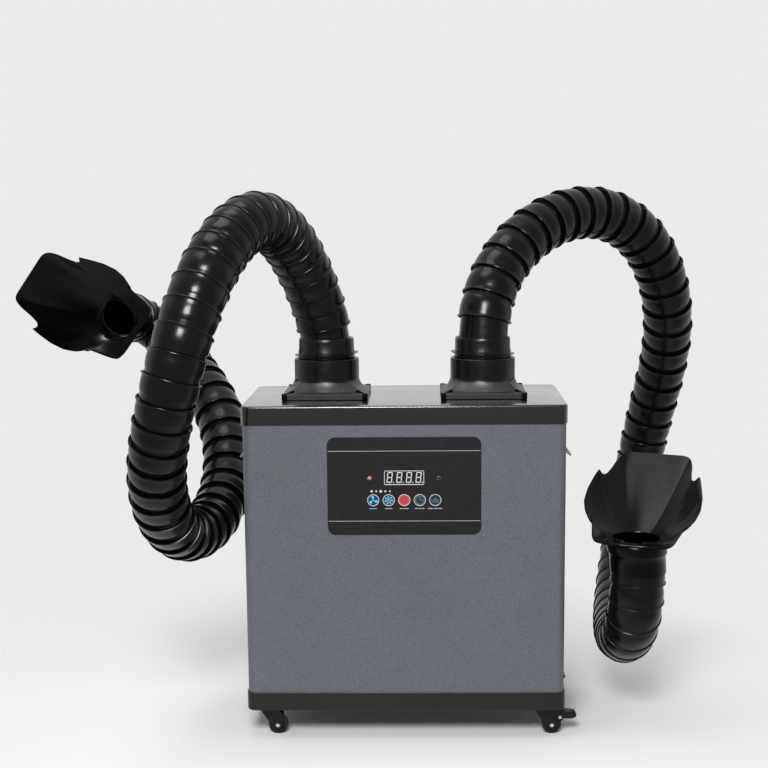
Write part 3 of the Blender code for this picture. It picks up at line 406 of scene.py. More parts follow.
def circle(centre, side, over, radius, count):
    turns = [2 * math.pi * n / count for n in range(count)]
    return [centre + (side * math.cos(t) + over * math.sin(t)) * radius for t in turns]


def both_ends(profile):
    """A profile of (radius, distance from the middle), from one end to its mirror image at the other."""
    return [(r, -h) for r, h in profile] + [(r, h) for r, h in reversed(profile)]


def hoop_into(bm, profile, centre, count, material=0):
    """A closed ring about a line along Y, from a profile of (radius, distance along Y)."""
    rings = [circle(centre + Y_AXIS * h, X_AXIS, Z_AXIS, r, count) for r, h in profile]
    loft_into(bm, rings, material=material)


def lathe_into(bm, profile, centre, axis=Z_AXIS, count=48, material=0):
    """Turn a profile of (radius, height) points about an axis and close its two ends."""
    axis = axis.normalized()
    side = axis.orthogonal().normalized()
    over = axis.cross(side)
    centre = Vector(centre)
    rings = [circle(centre + axis * h, side, over, max(r, 0.00005), count) for r, h in profile]
    loft_into(bm, rings, closed=False, material=material, caps=True)


def box_into(bm, low, high, bevel=0.0, material=0):
    low, high = Vector(low), Vector(high)
    placed = Matrix.Translation((low + high) / 2) @ Matrix.Diagonal((*(high - low), 1))
    before = set(bm.faces)
    made = bmesh.ops.create_cube(bm, size=1, matrix=placed)
    if bevel:
        edges = list(dict.fromkeys(e for v in made["verts"] for e in v.link_edges))
        bmesh.ops.bevel(bm, geom=edges, offset=bevel, segments=2, profile=0.5, affect="EDGES")
    for face in set(bm.faces) - before:
        face.material_index = material


def bar_into(bm, low, high, y_low, y_high, material=0):
    """A bar between two (x, z) corners, with a thickness along Y."""
    box_into(bm, (low[0], y_low, low[1]), (high[0], y_high, high[1]), material=material)


def outline_into(bm, points, y_low, y_high, material=0):
    """A flat outline of (x, z) points given a thickness along Y."""
    rings = [[(x, y, z) for x, z in points] for y in (y_low, y_high)]
    loft_into(bm, rings, closed=False, material=material, caps=True)


def rounded_plan(half_x, half_y, radius, steps=10):
    """Points round a rectangle's plan with round corners, anticlockwise from the +X side."""
    points = []
    for corner, (sx, sy) in enumerate(((1, 1), (-1, 1), (-1, -1), (1, -1))):
        cx, cy = sx * (half_x - radius), sy * (half_y - radius)
        for step in range(steps + 1):
            turn = math.pi / 2 * (corner + step / steps)
            points.append((cx + radius * math.cos(turn), cy + radius * math.sin(turn)))
    return points


def rounded_outline(low, high, radius):
    """The same between two (x, z) corners."""
    (x0, z0), (x1, z1) = low, high
    plan = rounded_plan((x1 - x0) / 2, (z1 - z0) / 2, radius, 8)
    return [((x0 + x1) / 2 + x, (z0 + z1) / 2 + z) for x, z in plan]


# ---------------- ducts
class Route:
    """A smooth line through a duct, with a side direction that never twists."""

    def __init__(self, points, steps=24):
        points = [Vector(p) for p in points]
        points = [2 * points[0] - points[1], *points, 2 * points[-1] - points[-2]]
        self.line = []
        for a, b, c, d in zip(points, points[1:], points[2:], points[3:]):
            for step in range(steps):
                t = step / steps
                weights = ((1 - t) ** 3, 3 * t**3 - 6 * t * t + 4, -3 * t**3 + 3 * t * t + 3 * t + 1, t**3)
                self.line.append(sum((p * w for p, w in zip((a, b, c, d), weights)), Vector()) / 6)
        self.line.append(points[-2])
        self.reach = [0.0]
        for a, b in zip(self.line, self.line[1:]):
            self.reach.append(self.reach[-1] + (b - a).length)
        self.length = self.reach[-1]
        last = len(self.line) - 1
        self.ways = [
            (self.line[min(i + 1, last)] - self.line[max(i - 1, 0)]).normalized() for i in range(last + 1)
        ]
        self.sides = [(Y_AXIS - self.ways[0] * self.ways[0].y).normalized()]
        for way in self.ways[1:]:
            side = self.sides[-1]
            self.sides.append((side - way * side.dot(way)).normalized())

    def at(self, distance):
        """(place, way, side, over) at a distance along; past an end it carries straight on."""
        inside = min(max(distance, 0.0), self.length)
        low, high = 0, len(self.reach) - 1
        while high - low > 1:
            middle = (low + high) // 2
            if self.reach[middle] <= inside:
                low = middle
            else:
                high = middle
        share = (inside - self.reach[low]) / max(self.reach[high] - self.reach[low], 1e-9)
        place = self.line[low].lerp(self.line[high], share)
        way = self.ways[low].lerp(self.ways[high], share).normalized()
        side = self.sides[low].lerp(self.sides[high], share)
        side = (side - way * side.dot(way)).normalized()
        return place + way * (distance - inside), way, side, way.cross(side)

    def nearest(self, place):
        """The distance along the route at its nearest point to a place."""
        index = min(range(len(self.line)), key=lambda i: (self.line[i] - place).length)
        return self.reach[index]


def interpolate(table, x):
    if x <= table[0][0]:
        return table[0][1]
    for (x0, y0), (x1, y1) in zip(table, table[1:]):
        if x <= x1:
            return y0 + (y1 - y0) * (x - x0) / (x1 - x0)
    return table[-1][1]


def hinge_places(side, count):
    """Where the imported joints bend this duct, in the cabinet's own frame."""
    joints = {joint["name"]: joint for joint in frame["record"]["behaviour"]["joints"]}
    return [Vector(joints[f"{side}_bend_{n}"]["pos_m"]) - CABINET for n in range(1, count)]


def cup_profile(spacing):
    """(offset, radius) from one rim to the next: a thin lip, a barrel, then a neck inside the next mouth."""
    barrel = spacing * BARREL_SHARE
    return (
        (-0.0006, 0.0366), (-0.0004, 0.0374), (0.0001, RIM_R), (0.0007, RIM_R), (0.0011, 0.0373),
        (0.0014, 0.0362), (0.0020, 0.0359), (barrel * 0.30, 0.0361), (barrel * 0.55, 0.0360),
        (barrel * 0.75, 0.0356), (barrel * 0.88, 0.0350), (barrel * 0.95, 0.0345),
        (barrel + 0.0002, 0.0341), (barrel + 0.0008, 0.0338), (spacing - 0.0012, 0.0343),
        (spacing - 0.0002, 0.0338), (spacing + MOUTH_DEPTH, NECK_R),
    )


def cups_along(length, spacing_table, first_rim):
    """(start, end) of every cup, by the distance of its two rims along the duct."""
    rims = [first_rim]
    while rims[-1] < length - 0.012:
        rims.append(rims[-1] + interpolate(spacing_table, rims[-1]))
    return list(zip(rims, rims[1:]))


def cuts_between_cups(cups, marks):
    """The first cup of each piece, nearest the middle of its link, and the number of cups at the end."""
    cuts = [0]
    for before, after in zip(marks[1:-2], marks[2:-1]):
        middle = (before + after) / 2
        cuts.append(min(range(len(cups)), key=lambda i: abs(cups[i][0] - middle)))
    return [*cuts, len(cups)]


def duct_rings(ring, cups, first, last, length):
    """All rings of the piece from cup first up to cup last: down its outside and back up its bore."""
    rings = []
    if first == 0:
        rings += [ring(DUCT_START, 0.0335, 0), ring(cups[0][0] + MOUTH_DEPTH, 0.0330, 0)]
    for i in range(first, last):
        start, end = cups[i]
        rings += [ring(start + MOUTH_DEPTH, 0.0322, i), ring(start + MOUTH_DEPTH, 0.0352, i)]
        rings += [ring(start + offset, radius, i) for offset, radius in cup_profile(end - start)]
    begin = cups[first][0] + MOUTH_DEPTH if first else DUCT_START
    finish = cups[last - 1][1] + MOUTH_DEPTH
    if last == len(cups):
        finish = length + DUCT_PAST_END
        rings.append(ring(finish, NECK_R, last - 1))
    steps = max(4, int((finish - begin) / INNER_STEP))
    return rings + [ring(finish - (finish - begin) * k / steps, INNER_R, -1) for k in range(steps + 1)]


def ribbed_duct(side, points, spacing_table, first_rim, link_count, seed):
    """The ribbed duct as one piece per joint, each from the middle of one link to the middle of the next."""
    route = Route(points)
    shake = random.Random(seed)
    hinges = hinge_places(side, link_count)
    marks = [0.0, *[route.nearest(hinge) for hinge in hinges], route.length]
    cups = cups_along(route.length, spacing_table, first_rim)
    cuts = cuts_between_cups(cups, marks)
    slopes = [(shake.uniform(-RIM_SLOPE, RIM_SLOPE), shake.uniform(-RIM_SLOPE, RIM_SLOPE)) for _ in cups]

    def ring(distance, radius, cup):
        place, way, across, over = route.at(distance)
        slope_a, slope_b = slopes[cup]
        across = (across + way * slope_a).normalized()
        over = (over + way * slope_b).normalized()
        return circle(place, across, over, radius, DUCT_SIDES)

    for n, (first, last) in enumerate(zip(cuts, cuts[1:]), 1):
        hinge, way, _, _ = route.at(marks[n])
        parts = [f"{side}_duct_{n}"]
        reach = BEND_REACH
        if last == len(cups):
            parts.append(f"{side}_duct_{n + 1}")
            # The last link may double back, so its blend's direction also looks towards the duct's end
            way = (way + (route.line[-1] - hinge).normalized()).normalized()
            reach = LAST_BEND_REACH
        blend = (f"{side}_duct_{n}", f"{side}_duct_{n + 1}", hinge - way * reach, hinge + way * reach)
        bm = bmesh.new()
        loft_into(bm, duct_rings(ring, cups, first, last, route.length))
        name = f"{side}_ribbed_duct_{n}"
        add_piece(name, bm, LOOKS["duct_plastic"], None, parts, "duct_plastic", 40, blend)


def cuff(side, x):
    """The round cuff that turns in the flange: a sleeve, and a thin lip that sits a little crooked."""
    sleeve = (
        (0.0330, 0.480), (0.0368, 0.480), (0.0372, 0.505), (0.0386, 0.509), (0.0386, 0.517),
        (0.0380, 0.5185), (0.0377, 0.530), (0.0375, 0.5335), (0.0366, 0.5350), (0.0352, 0.5352),
        (0.0334, 0.5352),
    )
    lip = (
        (0.0370, -0.0011), (0.0425, -0.0008), (0.0437, 0), (0.0434, 0.0006), (0.0420, 0.0009),
        (0.0370, 0.0012),
    )
    outwards = -1 if side == "right" else 1
    across = Vector((math.cos(CUFF_LEAN), 0, outwards * math.sin(CUFF_LEAN)))
    up = across.cross(Y_AXIS)
    centre = Vector((x, 0, 0.5132))
    bm = bmesh.new()
    loft_into(bm, [circle(Vector((x, 0, z)), X_AXIS, Y_AXIS, r, 64) for r, z in sleeve])
    loft_into(bm, [circle(centre + up * h, across, Y_AXIS, r, 64) for r, h in lip])
    add_piece(f"{side}_cuff", bm, LOOKS["flange_plastic"], f"{side}_duct_1", slot="flange_plastic", angle=28)


# ---------------- flanges
def squircle(half, radius, height, x, blend):
    """A ring between a square with round corners (blend 0) and a circle (blend 1)."""
    points = []
    corner = 0.005
    count = 96
    for n in range(count):
        turn = 2 * math.pi * n / count
        c, s = math.cos(turn), math.sin(turn)
        reach = half / max(abs(c), abs(s))
        square = Vector((reach * c, reach * s, 0))
        inner = half - corner
        if abs(square.x) > inner and abs(square.y) > inner:
            pin = Vector((math.copysign(inner, c), math.copysign(inner, s), 0))
            square = pin + (square - pin).normalized() * corner
        point = square.lerp(Vector((radius * c, radius * s, 0)), blend)
        points.append(Vector((x + point.x, point.y, height)))
    return points


def flange_rings(x):
    """From the plate's underside up the flared skirt and the neck, then down the bore."""
    low = FLANGE_LOW
    plate = ((0.0565, 0), (0.0573, 0.0008), (0.0573, 0.0070), (0.0566, 0.0080), (0.0535, 0.0082))
    rings = [squircle(half, 0, low + rise, x, 0) for half, rise in plate]
    for step in range(1, 13):
        t = step / 12
        rise = 0.0082 + 0.0178 * t
        shrink = (1 - t) ** 2.1
        half = 0.0445 + (0.0515 - 0.0445) * shrink
        radius = 0.0443 + 0.012 * shrink
        rings.append(squircle(half, radius, low + rise, x, min(1, t**0.75 * 1.05)))
    neck = ((0.0443, 0.5040), (0.0440, 0.5060), (0.0432, 0.5070), (0.0400, 0.5070), (0.0392, 0.5062))
    return rings + [squircle(0, radius, z, x, 1) for radius, z in (*neck, (0.0392, low))]


def flange(side, x):
    """The screw plate, its flared skirt and round neck, with four screw pockets and black corner plugs."""
    bm = bmesh.new()
    loft_into(bm, flange_rings(x))
    # Faces above the skirt get the plain neck plastic; the skirt below keeps its lighter colour, a painted
    # reflection of the light from above
    for face in bm.faces:
        if face.calc_center_median().z > FLANGE_LOW + SKIRT_RISE:
            face.material_index = 1
    looks = [FLANGE_SKIRT_PAINTED_SHEEN, LOOKS["flange_plastic"]]
    name = f"{side}_flange"
    shell = add_piece(f"{name}_shell", bm, looks, "cabinet", [name], "flange_plastic", 30)
    screw = (
        (0, -0.001), (0.0055, -0.001), (0.0055, 0.0003), (0.0035, 0.0004), (0.0035, 0.0012),
        (0.0028, 0.0022), (0.0010, 0.0026), (0, 0.0026),
    )
    half = PLUG_HALF
    holes, fittings = bmesh.new(), bmesh.new()
    for sx in (-1, 1):
        for sy in (-1, 1):
            place = Vector((x + sx * SCREW_OUT, sy * SCREW_OUT, SCREW_Z))
            tilt = Vector((sx * 0.55, sy * 0.55, 1))
            lathe_into(holes, [(0.0056, 0), (0.0056, 0.03)], place, tilt, 24)
            lathe_into(fittings, screw, place, tilt, 24)
            cx, cy = x + sx * PLUG_OUT, sy * PLUG_OUT
            low = (cx - half, cy - half, FLANGE_LOW)
            high = (cx + half, cy + half, FLANGE_LOW + 0.0088)
            box_into(fittings, low, high, 0.0006)
    cut_holes(shell, holes)
    add_piece(f"{name}_plugs", fittings, PLUG_BLACK, "cabinet", slot="flange_plastic")


# ---------------- hoods
def skewed(point):
    """A rim point moved sideways by the share of the long wall's lean that it takes."""
    share = min(1.0, max(0.0, (point.y - 0.080) / 0.040))
    return point + Vector((WALL_SKEW * share, 0, 0))


def mirrored(point):
    return Vector((-point.x, point.y, point.z))


def hood_outline():
    """Round the whole rim: the angle of each flow line at the throat, its rim point and its fold point."""
    right = [(a, Vector(p), Vector(HOOD_FOLD.get(a, p))) for a, p in HOOD_RIM]
    left = [(180 - a, mirrored(p), mirrored(q)) for a, p, q in reversed(right[1:-1])]
    corners = [(a, skewed(p), skewed(q)) for a, p, q in right + left]
    corners.append((270, *corners[0][1:]))
    angles, rims, folds = [], [], []
    for (a0, p0, q0), (a1, p1, q1) in zip(corners, corners[1:]):
        count = max(1, round((p1 - p0).length / RIM_STEP))
        for k in range(count):
            angles.append(a0 + (a1 - a0) * k / count)
            rims.append(p0.lerp(p1, k / count))
            folds.append(q0.lerp(q1, k / count))
    for _ in range(2):
        after = rims[1:] + rims[:1]
        rims = [p * 0.5 + (rims[k - 1] + after[k]) * 0.25 for k, p in enumerate(rims)]
    return [math.radians(a) for a in angles], rims, folds


def hood_row(outline, t):
    """The hood's inside at a share of the way from the throat to the rim."""
    row = []
    soft = max(0.0, (t - FOLD_START) / (1 - FOLD_START))
    for turn, rim, fold in zip(*outline):
        rim = fold.lerp(rim, soft * soft * (3 - 2 * soft))
        start = Vector((THROAT_R * math.cos(turn), THROAT_R * math.sin(turn), 0))
        sideways = max(0.0, abs(math.cos(turn)) - 0.35)
        bulge = math.sin(math.pi * min(1, t * 1.05)) * SIDE_BULGE * sideways
        outwards = Vector((math.cos(turn), 0.2 * math.sin(turn), -0.4))
        row.append(start.lerp(rim, t) + outwards * bulge)
    return row


def hood_outside(inner):
    """The rows of the inside, moved out by the wall's thickness."""
    outer = []
    for k, row in enumerate(inner):
        made = []
        for i, point in enumerate(row):
            along = inner[min(k + 1, len(inner) - 1)][i] - inner[max(k - 1, 0)][i]
            around = row[(i + 1) % len(row)] - row[i - 1]
            normal = around.cross(along).normalized()
            if normal.x * point.x + normal.y * (point.y - 0.03 * HOOD_ROWS[k]) < 0 and k < 3:
                normal.negate()
            made.append(point + normal * HOOD_WALL)
        outer.append(made)
    return outer


def hood(side, points, axes, collar_shift):
    """A scoop: a collar for the duct, a round throat, a flat long wall and two lobed side walls."""
    z_way = Vector(axes[0]).normalized()
    y_way = Vector(axes[1])
    y_way = (y_way - z_way * y_way.dot(z_way)).normalized()
    x_way = y_way.cross(z_way)
    throat = Vector(points[-1]) + z_way * (COLLAR_LENGTH + 0.0005) - x_way * collar_shift
    outline = hood_outline()
    inner = [hood_row(outline, t) for t in HOOD_ROWS]
    outer = hood_outside(inner)
    lip = []
    for before, inside, outside in zip(inner[-2], inner[-1], outer[-1]):
        lip.append(inside.lerp(outside, 0.5) + (inside - before).normalized() * 0.0008)

    def round_row(radius, height):
        shift = collar_shift * max(0.0, -height) / COLLAR_LENGTH
        return [Vector((radius * math.cos(t) + shift, radius * math.sin(t), height)) for t in outline[0]]

    rows = [round_row(*point) for point in COLLAR_PROFILE]
    rows += [*outer[1:], lip, *reversed(inner)]
    rows += [round_row(*point) for point in THROAT_PROFILE]
    bm = bmesh.new()
    loft_into(bm, [[throat + x_way * p.x + y_way * p.y + z_way * p.z for p in row] for row in rows])
    body = f"{side}_hood"
    add_piece(f"{side}_scoop_hood", bm, LOOKS["hood_plastic"], body, [body], "hood_plastic", 50)


# ---------------- cabinet
def plan_ring(inset, z):
    plan = rounded_plan(WIDTH / 2 - inset, DEPTH / 2 - inset, max(CORNER_R - inset, 0.001))
    return [(x, y, z) for x, y in plan]


def cabinet_shell():
    """The front and side walls, open at the rear, with a window behind the control panel."""
    low, high = BASE_LOW + 0.004, HEIGHT - SHEET - 0.0003
    radius = CORNER_R - (WIDTH / 2 - BODY_HALF_X)
    outer = rounded_plan(BODY_HALF_X, BODY_HALF_Y, radius, 12)
    inner = rounded_plan(BODY_HALF_X - SHEET, BODY_HALF_Y - SHEET, radius - SHEET, 12)
    bm = bmesh.new()
    walls = ((outer, low), (outer, high), (inner, high), (inner, low))
    loft_into(bm, [[(x, y, z) for x, y in plan] for plan, z in walls])
    skin = add_piece("cabinet_skin", bm, LOOKS["body_paint"], "cabinet", ["cabinet_wrap"], "body_paint", 25)
    holes = bmesh.new()
    box_into(holes, (-0.195, 0.08, low - 0.01), (0.195, 0.13, high + 0.01))
    bar_into(holes, (-0.060, 0.305), (0.060, 0.386), *PANEL_CUT)
    cut_holes(skin, holes)


def lid_cover():
    """The lid: a rolled top edge, a skirt all round, a catch on each side, and holes under the flanges."""
    skirt = HEIGHT - LID_BAND
    roll = 0.0026
    rings = [plan_ring(0.0002, skirt), plan_ring(0, skirt + 0.0006)]
    for step in range(7):
        turn = math.pi / 2 * step / 6
        rings.append(plan_ring(roll * (1 - math.cos(turn)), HEIGHT - roll + roll * math.sin(turn)))
    inner = [plan_ring(0.0028, HEIGHT - SHEET), plan_ring(0.0013, HEIGHT - 0.004), plan_ring(0.0013, skirt)]
    bm = bmesh.new()
    top = loft_into(bm, rings, closed=False)
    under = loft_into(bm, inner, closed=False)
    bm.faces.new(top[-1])
    bm.faces.new(under[0])
    for i in range(len(top[0])):
        j = (i + 1) % len(top[0])
        bm.faces.new((top[0][i], top[0][j], under[-1][j], under[-1][i]))
    for sign in (-1, 1):
        x0, x1 = sorted((sign * 0.2146, sign * 0.2172))
        box_into(bm, (x0, -0.010, 0.436), (x1, 0.010, 0.4395), 0.0005)
    cover = add_piece("lid_cover", bm, LOOKS["black_paint"], "cabinet", ["lid"], "black_paint", 28)
    holes = bmesh.new()
    for x in (-DUCT_X, DUCT_X):
        lathe_into(holes, [(0.039, 0.43), (0.039, 0.47)], (x, 0, 0))
    cut_holes(cover, holes)


def base_pan():
    """The black band round the foot of the cabinet, with a rolled lower edge."""
    top = BASE_LOW + BASE_BAND - 0.0005
    roll = 0.0022
    rings = []
    for step in range(7):
        turn = math.pi / 2 * step / 6
        rings.append(plan_ring(roll * (1 - math.sin(turn)), BASE_LOW + roll * (1 - math.cos(turn))))
    rings += [plan_ring(0, top - 0.0005), plan_ring(0.0003, top), plan_ring(0.0012, top)]
    rings += [plan_ring(0.0013, top - 0.0004), plan_ring(0.0013, BASE_LOW + 0.003)]
    bm = bmesh.new()
    loft_into(bm, rings, closed=False, caps=True)
    add_piece("base_pan", bm, BASE_PAINT, "cabinet", ["base_tray"], "black_paint", 28)


# ---------------- control panel
def button_places():
    return [(name, (n - 2) * BUTTON_PITCH) for n, name in enumerate(BUTTONS)]


def panel_film():
    """The dark film with its holes for the display, the keys and the two lenses."""
    bm = bmesh.new()
    outline = rounded_outline(OVERLAY_LOW, OVERLAY_HIGH, 0.0105)
    outline_into(bm, outline, OVERLAY_FACE, OVERLAY_FACE + OVERLAY_THICK)
    look = LOOKS["overlay_film"]
    film = add_piece("panel_film", bm, look, "cabinet", ["control_overlay"], "overlay_film", 30)
    holes = bmesh.new()
    low = (DISPLAY_LOW[0] - 0.0003, DISPLAY_LOW[1] - 0.0003)
    high = (DISPLAY_HIGH[0] + 0.0003, DISPLAY_HIGH[1] + 0.0003)
    bar_into(holes, low, high, *PANEL_CUT)
    for _, x in button_places():
        lathe_into(holes, [(BUTTON_R + 0.0006, y) for y in PANEL_CUT], (x, 0, BUTTON_Z), Y_AXIS)
    for x in (-LED_X, LED_X):
        lathe_into(holes, [(0.0034, y) for y in PANEL_CUT], (x, 0, LENS_Z), Y_AXIS, 32)
    cut_holes(film, holes)


def panel_print():
    """The film's two hairlines, a plain label bar under each key and the row of small marks."""
    ink, back = OVERLAY_FACE - 0.00012, OVERLAY_FACE + 0.0002
    bm = bmesh.new()
    for z in HAIRLINE_Z:
        low, high = (OVERLAY_LOW[0] + 0.0012, z - 0.00035), (OVERLAY_HIGH[0] - 0.0012, z + 0.00035)
        bar_into(bm, low, high, ink, back)
    for half, (_, x) in zip(LABEL_HALF_WIDTHS, button_places()):
        left = -half
        for share in (0.42, 0.30, 0.28):
            wide = half * 2 * share
            bar_into(bm, (x + left, 0.3176), (x + left + wide * 0.86, 0.3188), ink, back)
            left += wide
    add_piece("panel_print", bm, PRINT_GREY, "cabinet", slot="overlay_film")

    bm = bmesh.new()
    for n, size in enumerate((0.0019, 0.0013, 0.0019, 0.0015, 0.0012)):
        place = (-0.0430 + n * 0.00605, 0, 0.3415)
        mark = [(0, ink), (size, ink), (size, back), (0, back)]
        lathe_into(bm, mark, place, Y_AXIS, 5 if n in (0, 3) else 20)
    add_piece("panel_marks", bm, PRINT_WHITE, "cabinet", slot="overlay_film")


def figure_into(bm, cx, cz, face):
    """One slanted figure of seven bars, with its point."""
    front, back = face + 0.0001, face + 0.0005
    bar = 0.00125
    w, h = 0.0036, 0.0071

    def bar_box(ax, az, bx, bz):
        corners = ((ax, az), (bx, az), (bx, bz), (ax, bz))
        outline_into(bm, [(cx + x + 0.10 * z, cz + z) for x, z in corners], front, back)

    for z in (-h + bar / 2, 0, h - bar / 2):
        bar_box(-w + bar * 0.6, z - bar / 2, w - bar * 0.6, z + bar / 2)
    for x in (-w + bar / 2, w - bar / 2):
        bar_box(x - bar / 2, bar * 0.35, x + bar / 2, h - bar * 0.3)
        bar_box(x - bar / 2, -h + bar * 0.3, x + bar / 2, -bar * 0.35)
    point = [(0, front), (0.0007, front), (0.0007, back), (0, back)]
    lathe_into(bm, point, (cx + w + 0.0013, 0, cz - h + 0.0006), Y_AXIS, 12)


def display():
    """The dark window, its light frame with four figures, and the lamp and the remote's window beside it."""
    face = OVERLAY_FACE - 0.0001
    (x0, z0), (x1, z1) = DISPLAY_LOW, DISPLAY_HIGH
    bm = bmesh.new()
    box_into(bm, (x0, face + 0.0003, z0), (x1, -0.099, z1), 0.0003)
    add_piece("display_glass", bm, LOOKS["display"], "cabinet", ["display_module"], "display")
    bm = bmesh.new()
    rim = 0.00075
    bar_into(bm, (x0, z0), (x1, z0 + rim * 1.3), face, face + 0.0005)
    bar_into(bm, (x0, z1 - rim), (x1, z1), face, face + 0.0005)
    bar_into(bm, (x0, z0), (x0 + rim, z1), face, face + 0.0005)
    bar_into(bm, (x1 - rim, z0), (x1, z1), face, face + 0.0005)
    for n in range(4):
        figure_into(bm, -0.0190 + n * 0.0127, (z0 + z1) / 2 + 0.0004, face)
    add_piece("display_figures", bm, SEGMENT, "cabinet", slot="display")
    dome = (
        (0, face - 0.0006), (0.0012, face - 0.0004), (0.0022, face + 0.0001), (0.0029, face + 0.0010),
        (0.0029, face + 0.0018), (0.0040, face + 0.0018), (0.0040, face + 0.006), (0, face + 0.006),
    )
    for name, x, look in (("status_lamp", -LED_X, LED_RED), ("remote_window", LED_X, LOOKS["display"])):
        bm = bmesh.new()
        lathe_into(bm, dome, (x, 0, LENS_Z), Y_AXIS, 32)
        add_piece(name, bm, look, "cabinet", slot="display")


def fan_sign(bm, centre, face, leaves, length, spread):
    """A sign of leaves round a hub."""
    leaf = (
        (0.12, 0.0), (0.5, spread * 0.55), (0.85, spread), (1.0, spread * 0.35), (0.95, -spread * 0.35),
        (0.55, -spread * 0.3),
    )
    for k in range(leaves):
        turn = math.radians(90) + 2 * math.pi * k / leaves
        c, s = math.cos(turn), math.sin(turn)
        sized = [(length * along, length * across) for along, across in leaf]
        points = [(centre.x + x * c - z * s, centre.z + x * s + z * c) for x, z in sized]
        outline_into(bm, points, face, face + 0.0003, 2)
    hub = [(0, face - 0.0001), (0.0009, face), (0.0010, face + 0.0004), (0, face + 0.0004)]
    lathe_into(bm, hub, centre, Y_AXIS, 16, 2)


def clock_sign(bm, centre, face):
    """A sign of a round dial with two hands."""
    back = face + 0.0004
    hoop_into(bm, [(0.0052, face), (0.0058, face), (0.0058, back), (0.0052, back)], centre, 32, 2)
    corner = (centre.x - 0.0004, BUTTON_Z - 0.0004)
    bar_into(bm, corner, (centre.x + 0.0004, BUTTON_Z + 0.0042), face, back, 2)
    bar_into(bm, corner, (centre.x + 0.0034, BUTTON_Z + 0.0004), face, back, 2)


def bars_sign(bm, centre, face):
    """A sign of three short bars."""
    for rise, half in ((0.0022, 0.0018), (-0.0001, 0.0053), (-0.0026, 0.0042)):
        z = BUTTON_Z + rise
        low, high = (centre.x - half, z - 0.0004), (centre.x + half, z + 0.0004)
        bar_into(bm, low, high, face, face + 0.0004, 2)


def buttons():
    """Round keys, each a shallow dished cap with a light ring and a simple sign."""
    face = OVERLAY_FACE - 0.0004
    top = face - 0.00002
    cap = (
        (0, face + 0.00025), (0.0055, face + 0.00022), (0.0068, face + 0.0001), (0.0077, face + 0.00025),
        (BUTTON_R, face + 0.0006), (BUTTON_R, face + 0.0022), (0.0092, face + 0.0022),
        (0.0092, face + 0.0042), (0, face + 0.0042),
    )
    ring = (
        (0.0070, face + 0.00005), (0.0073, face - 0.0001), (0.0078, face - 0.0001), (0.0080, face + 0.0002),
        (0.0079, face + 0.0005), (0.0070, face + 0.0005),
    )
    keys = ("blue_key", "blue_key", "red_key", "grey_key", "grey_key")
    slots = ("blue_key", "blue_key", "red_key", "grey_key", "blue_key")
    signs = (PRINT_CYAN, PRINT_TEAL, LOOKS["red_key"], PRINT_DIM, PRINT_DIM)
    for n, (name, x) in enumerate(button_places()):
        centre = Vector((x, 0, BUTTON_Z))
        bm = bmesh.new()
        lathe_into(bm, cap, centre, Y_AXIS, 48)
        hoop_into(bm, ring, centre, 48, 1)
        if n == 0:
            fan_sign(bm, centre, top, 3, 0.0060, 0.52)
        elif n == 1:
            fan_sign(bm, centre, top, 7, 0.0058, 0.30)
        elif n == 3:
            clock_sign(bm, centre, top)
        elif n == 4:
            bars_sign(bm, centre, top)
        looks = [LOOKS[keys[n]], PRINT_WHITE, signs[n]]
        add_piece(f"{name}_cap", bm, looks, name, [name], slots[n])


# ---------------- casters
def caster(place, x, y, braked):
    """A swivelling fork and its wheel; the braked one has longer cheeks and a pedal between them."""
    fork_shell(f"caster_fork_{place}", x, y, braked)
    wheel_tyre(f"caster_wheel_{place}", x + CASTER_TRAIL, y)
    if braked:
        brake_pedal(f"brake_pedal_{place}", Vector((x + 0.0225, y, 0.0245)))


def fork_shell(name, x, y, braked):
    swivel = (
        (0, 0.0389), (0.004, 0.0389), (0.004, 0.0361), (0.0130, 0.0361), (0.0135, 0.0355), (0.0135, 0.0340),
        (0.0128, 0.0330), (0, 0.0330),
    )
    if braked:
        cheek = [(-0.0115, 0.0345), (0.0262, 0.0345), (0.0270, 0.0230)]
        bridge = 0.0262
        turns = (-10, -40, -70, -100, -130, -155)
    else:
        cheek = [(-0.0115, 0.0345), (0.0122, 0.0345), (0.0180, 0.0260)]
        bridge = 0.0120
        turns = (20, -10, -40, -70, -100, -130, -155)
    for turn in turns:
        a = math.radians(turn)
        cheek.append((CASTER_TRAIL + CHEEK_R * math.cos(a), WHEEL_R + CHEEK_R * math.sin(a)))
    bm = bmesh.new()
    lathe_into(bm, swivel, (x, y, 0), count=40)
    for y_low in (y - 0.0105, y + 0.0088):
        outline_into(bm, [(x + along, z) for along, z in cheek], y_low, y_low + 0.0017)
    box_into(bm, (x - 0.0115, y - 0.0100, 0.0325), (x + bridge, y + 0.0100, 0.0355), 0.0006)
    add_piece(f"{name}_shell", bm, FORK_PAINT, name, [name], "black_paint")


def wheel_tyre(name, x, y):
    """A twin tread on a hub, and the riveted axle through it."""
    tread = (
        (0.0031, 0.0035), (0.0080, 0.0035), (0.0085, 0.0070), (0.0112, 0.0070), (0.0126, 0.0062),
        (0.0130, 0.0045), (0.0130, 0.0012), (0.0125, 0.0006),
    )
    rivet = ((0, 0.0125), (0.0018, 0.0123), (0.0031, 0.0112), (0.0033, 0.0106), (0.0026, 0.0104))
    centre = Vector((x, y, WHEEL_R))
    bm = bmesh.new()
    hoop_into(bm, both_ends(tread), centre, 48)
    lathe_into(bm, both_ends(rivet), centre, Y_AXIS, 24, 1)
    add_piece(f"{name}_tyre", bm, [LOOKS["wheel_rubber"], RIVET], name, [name], "wheel_rubber")


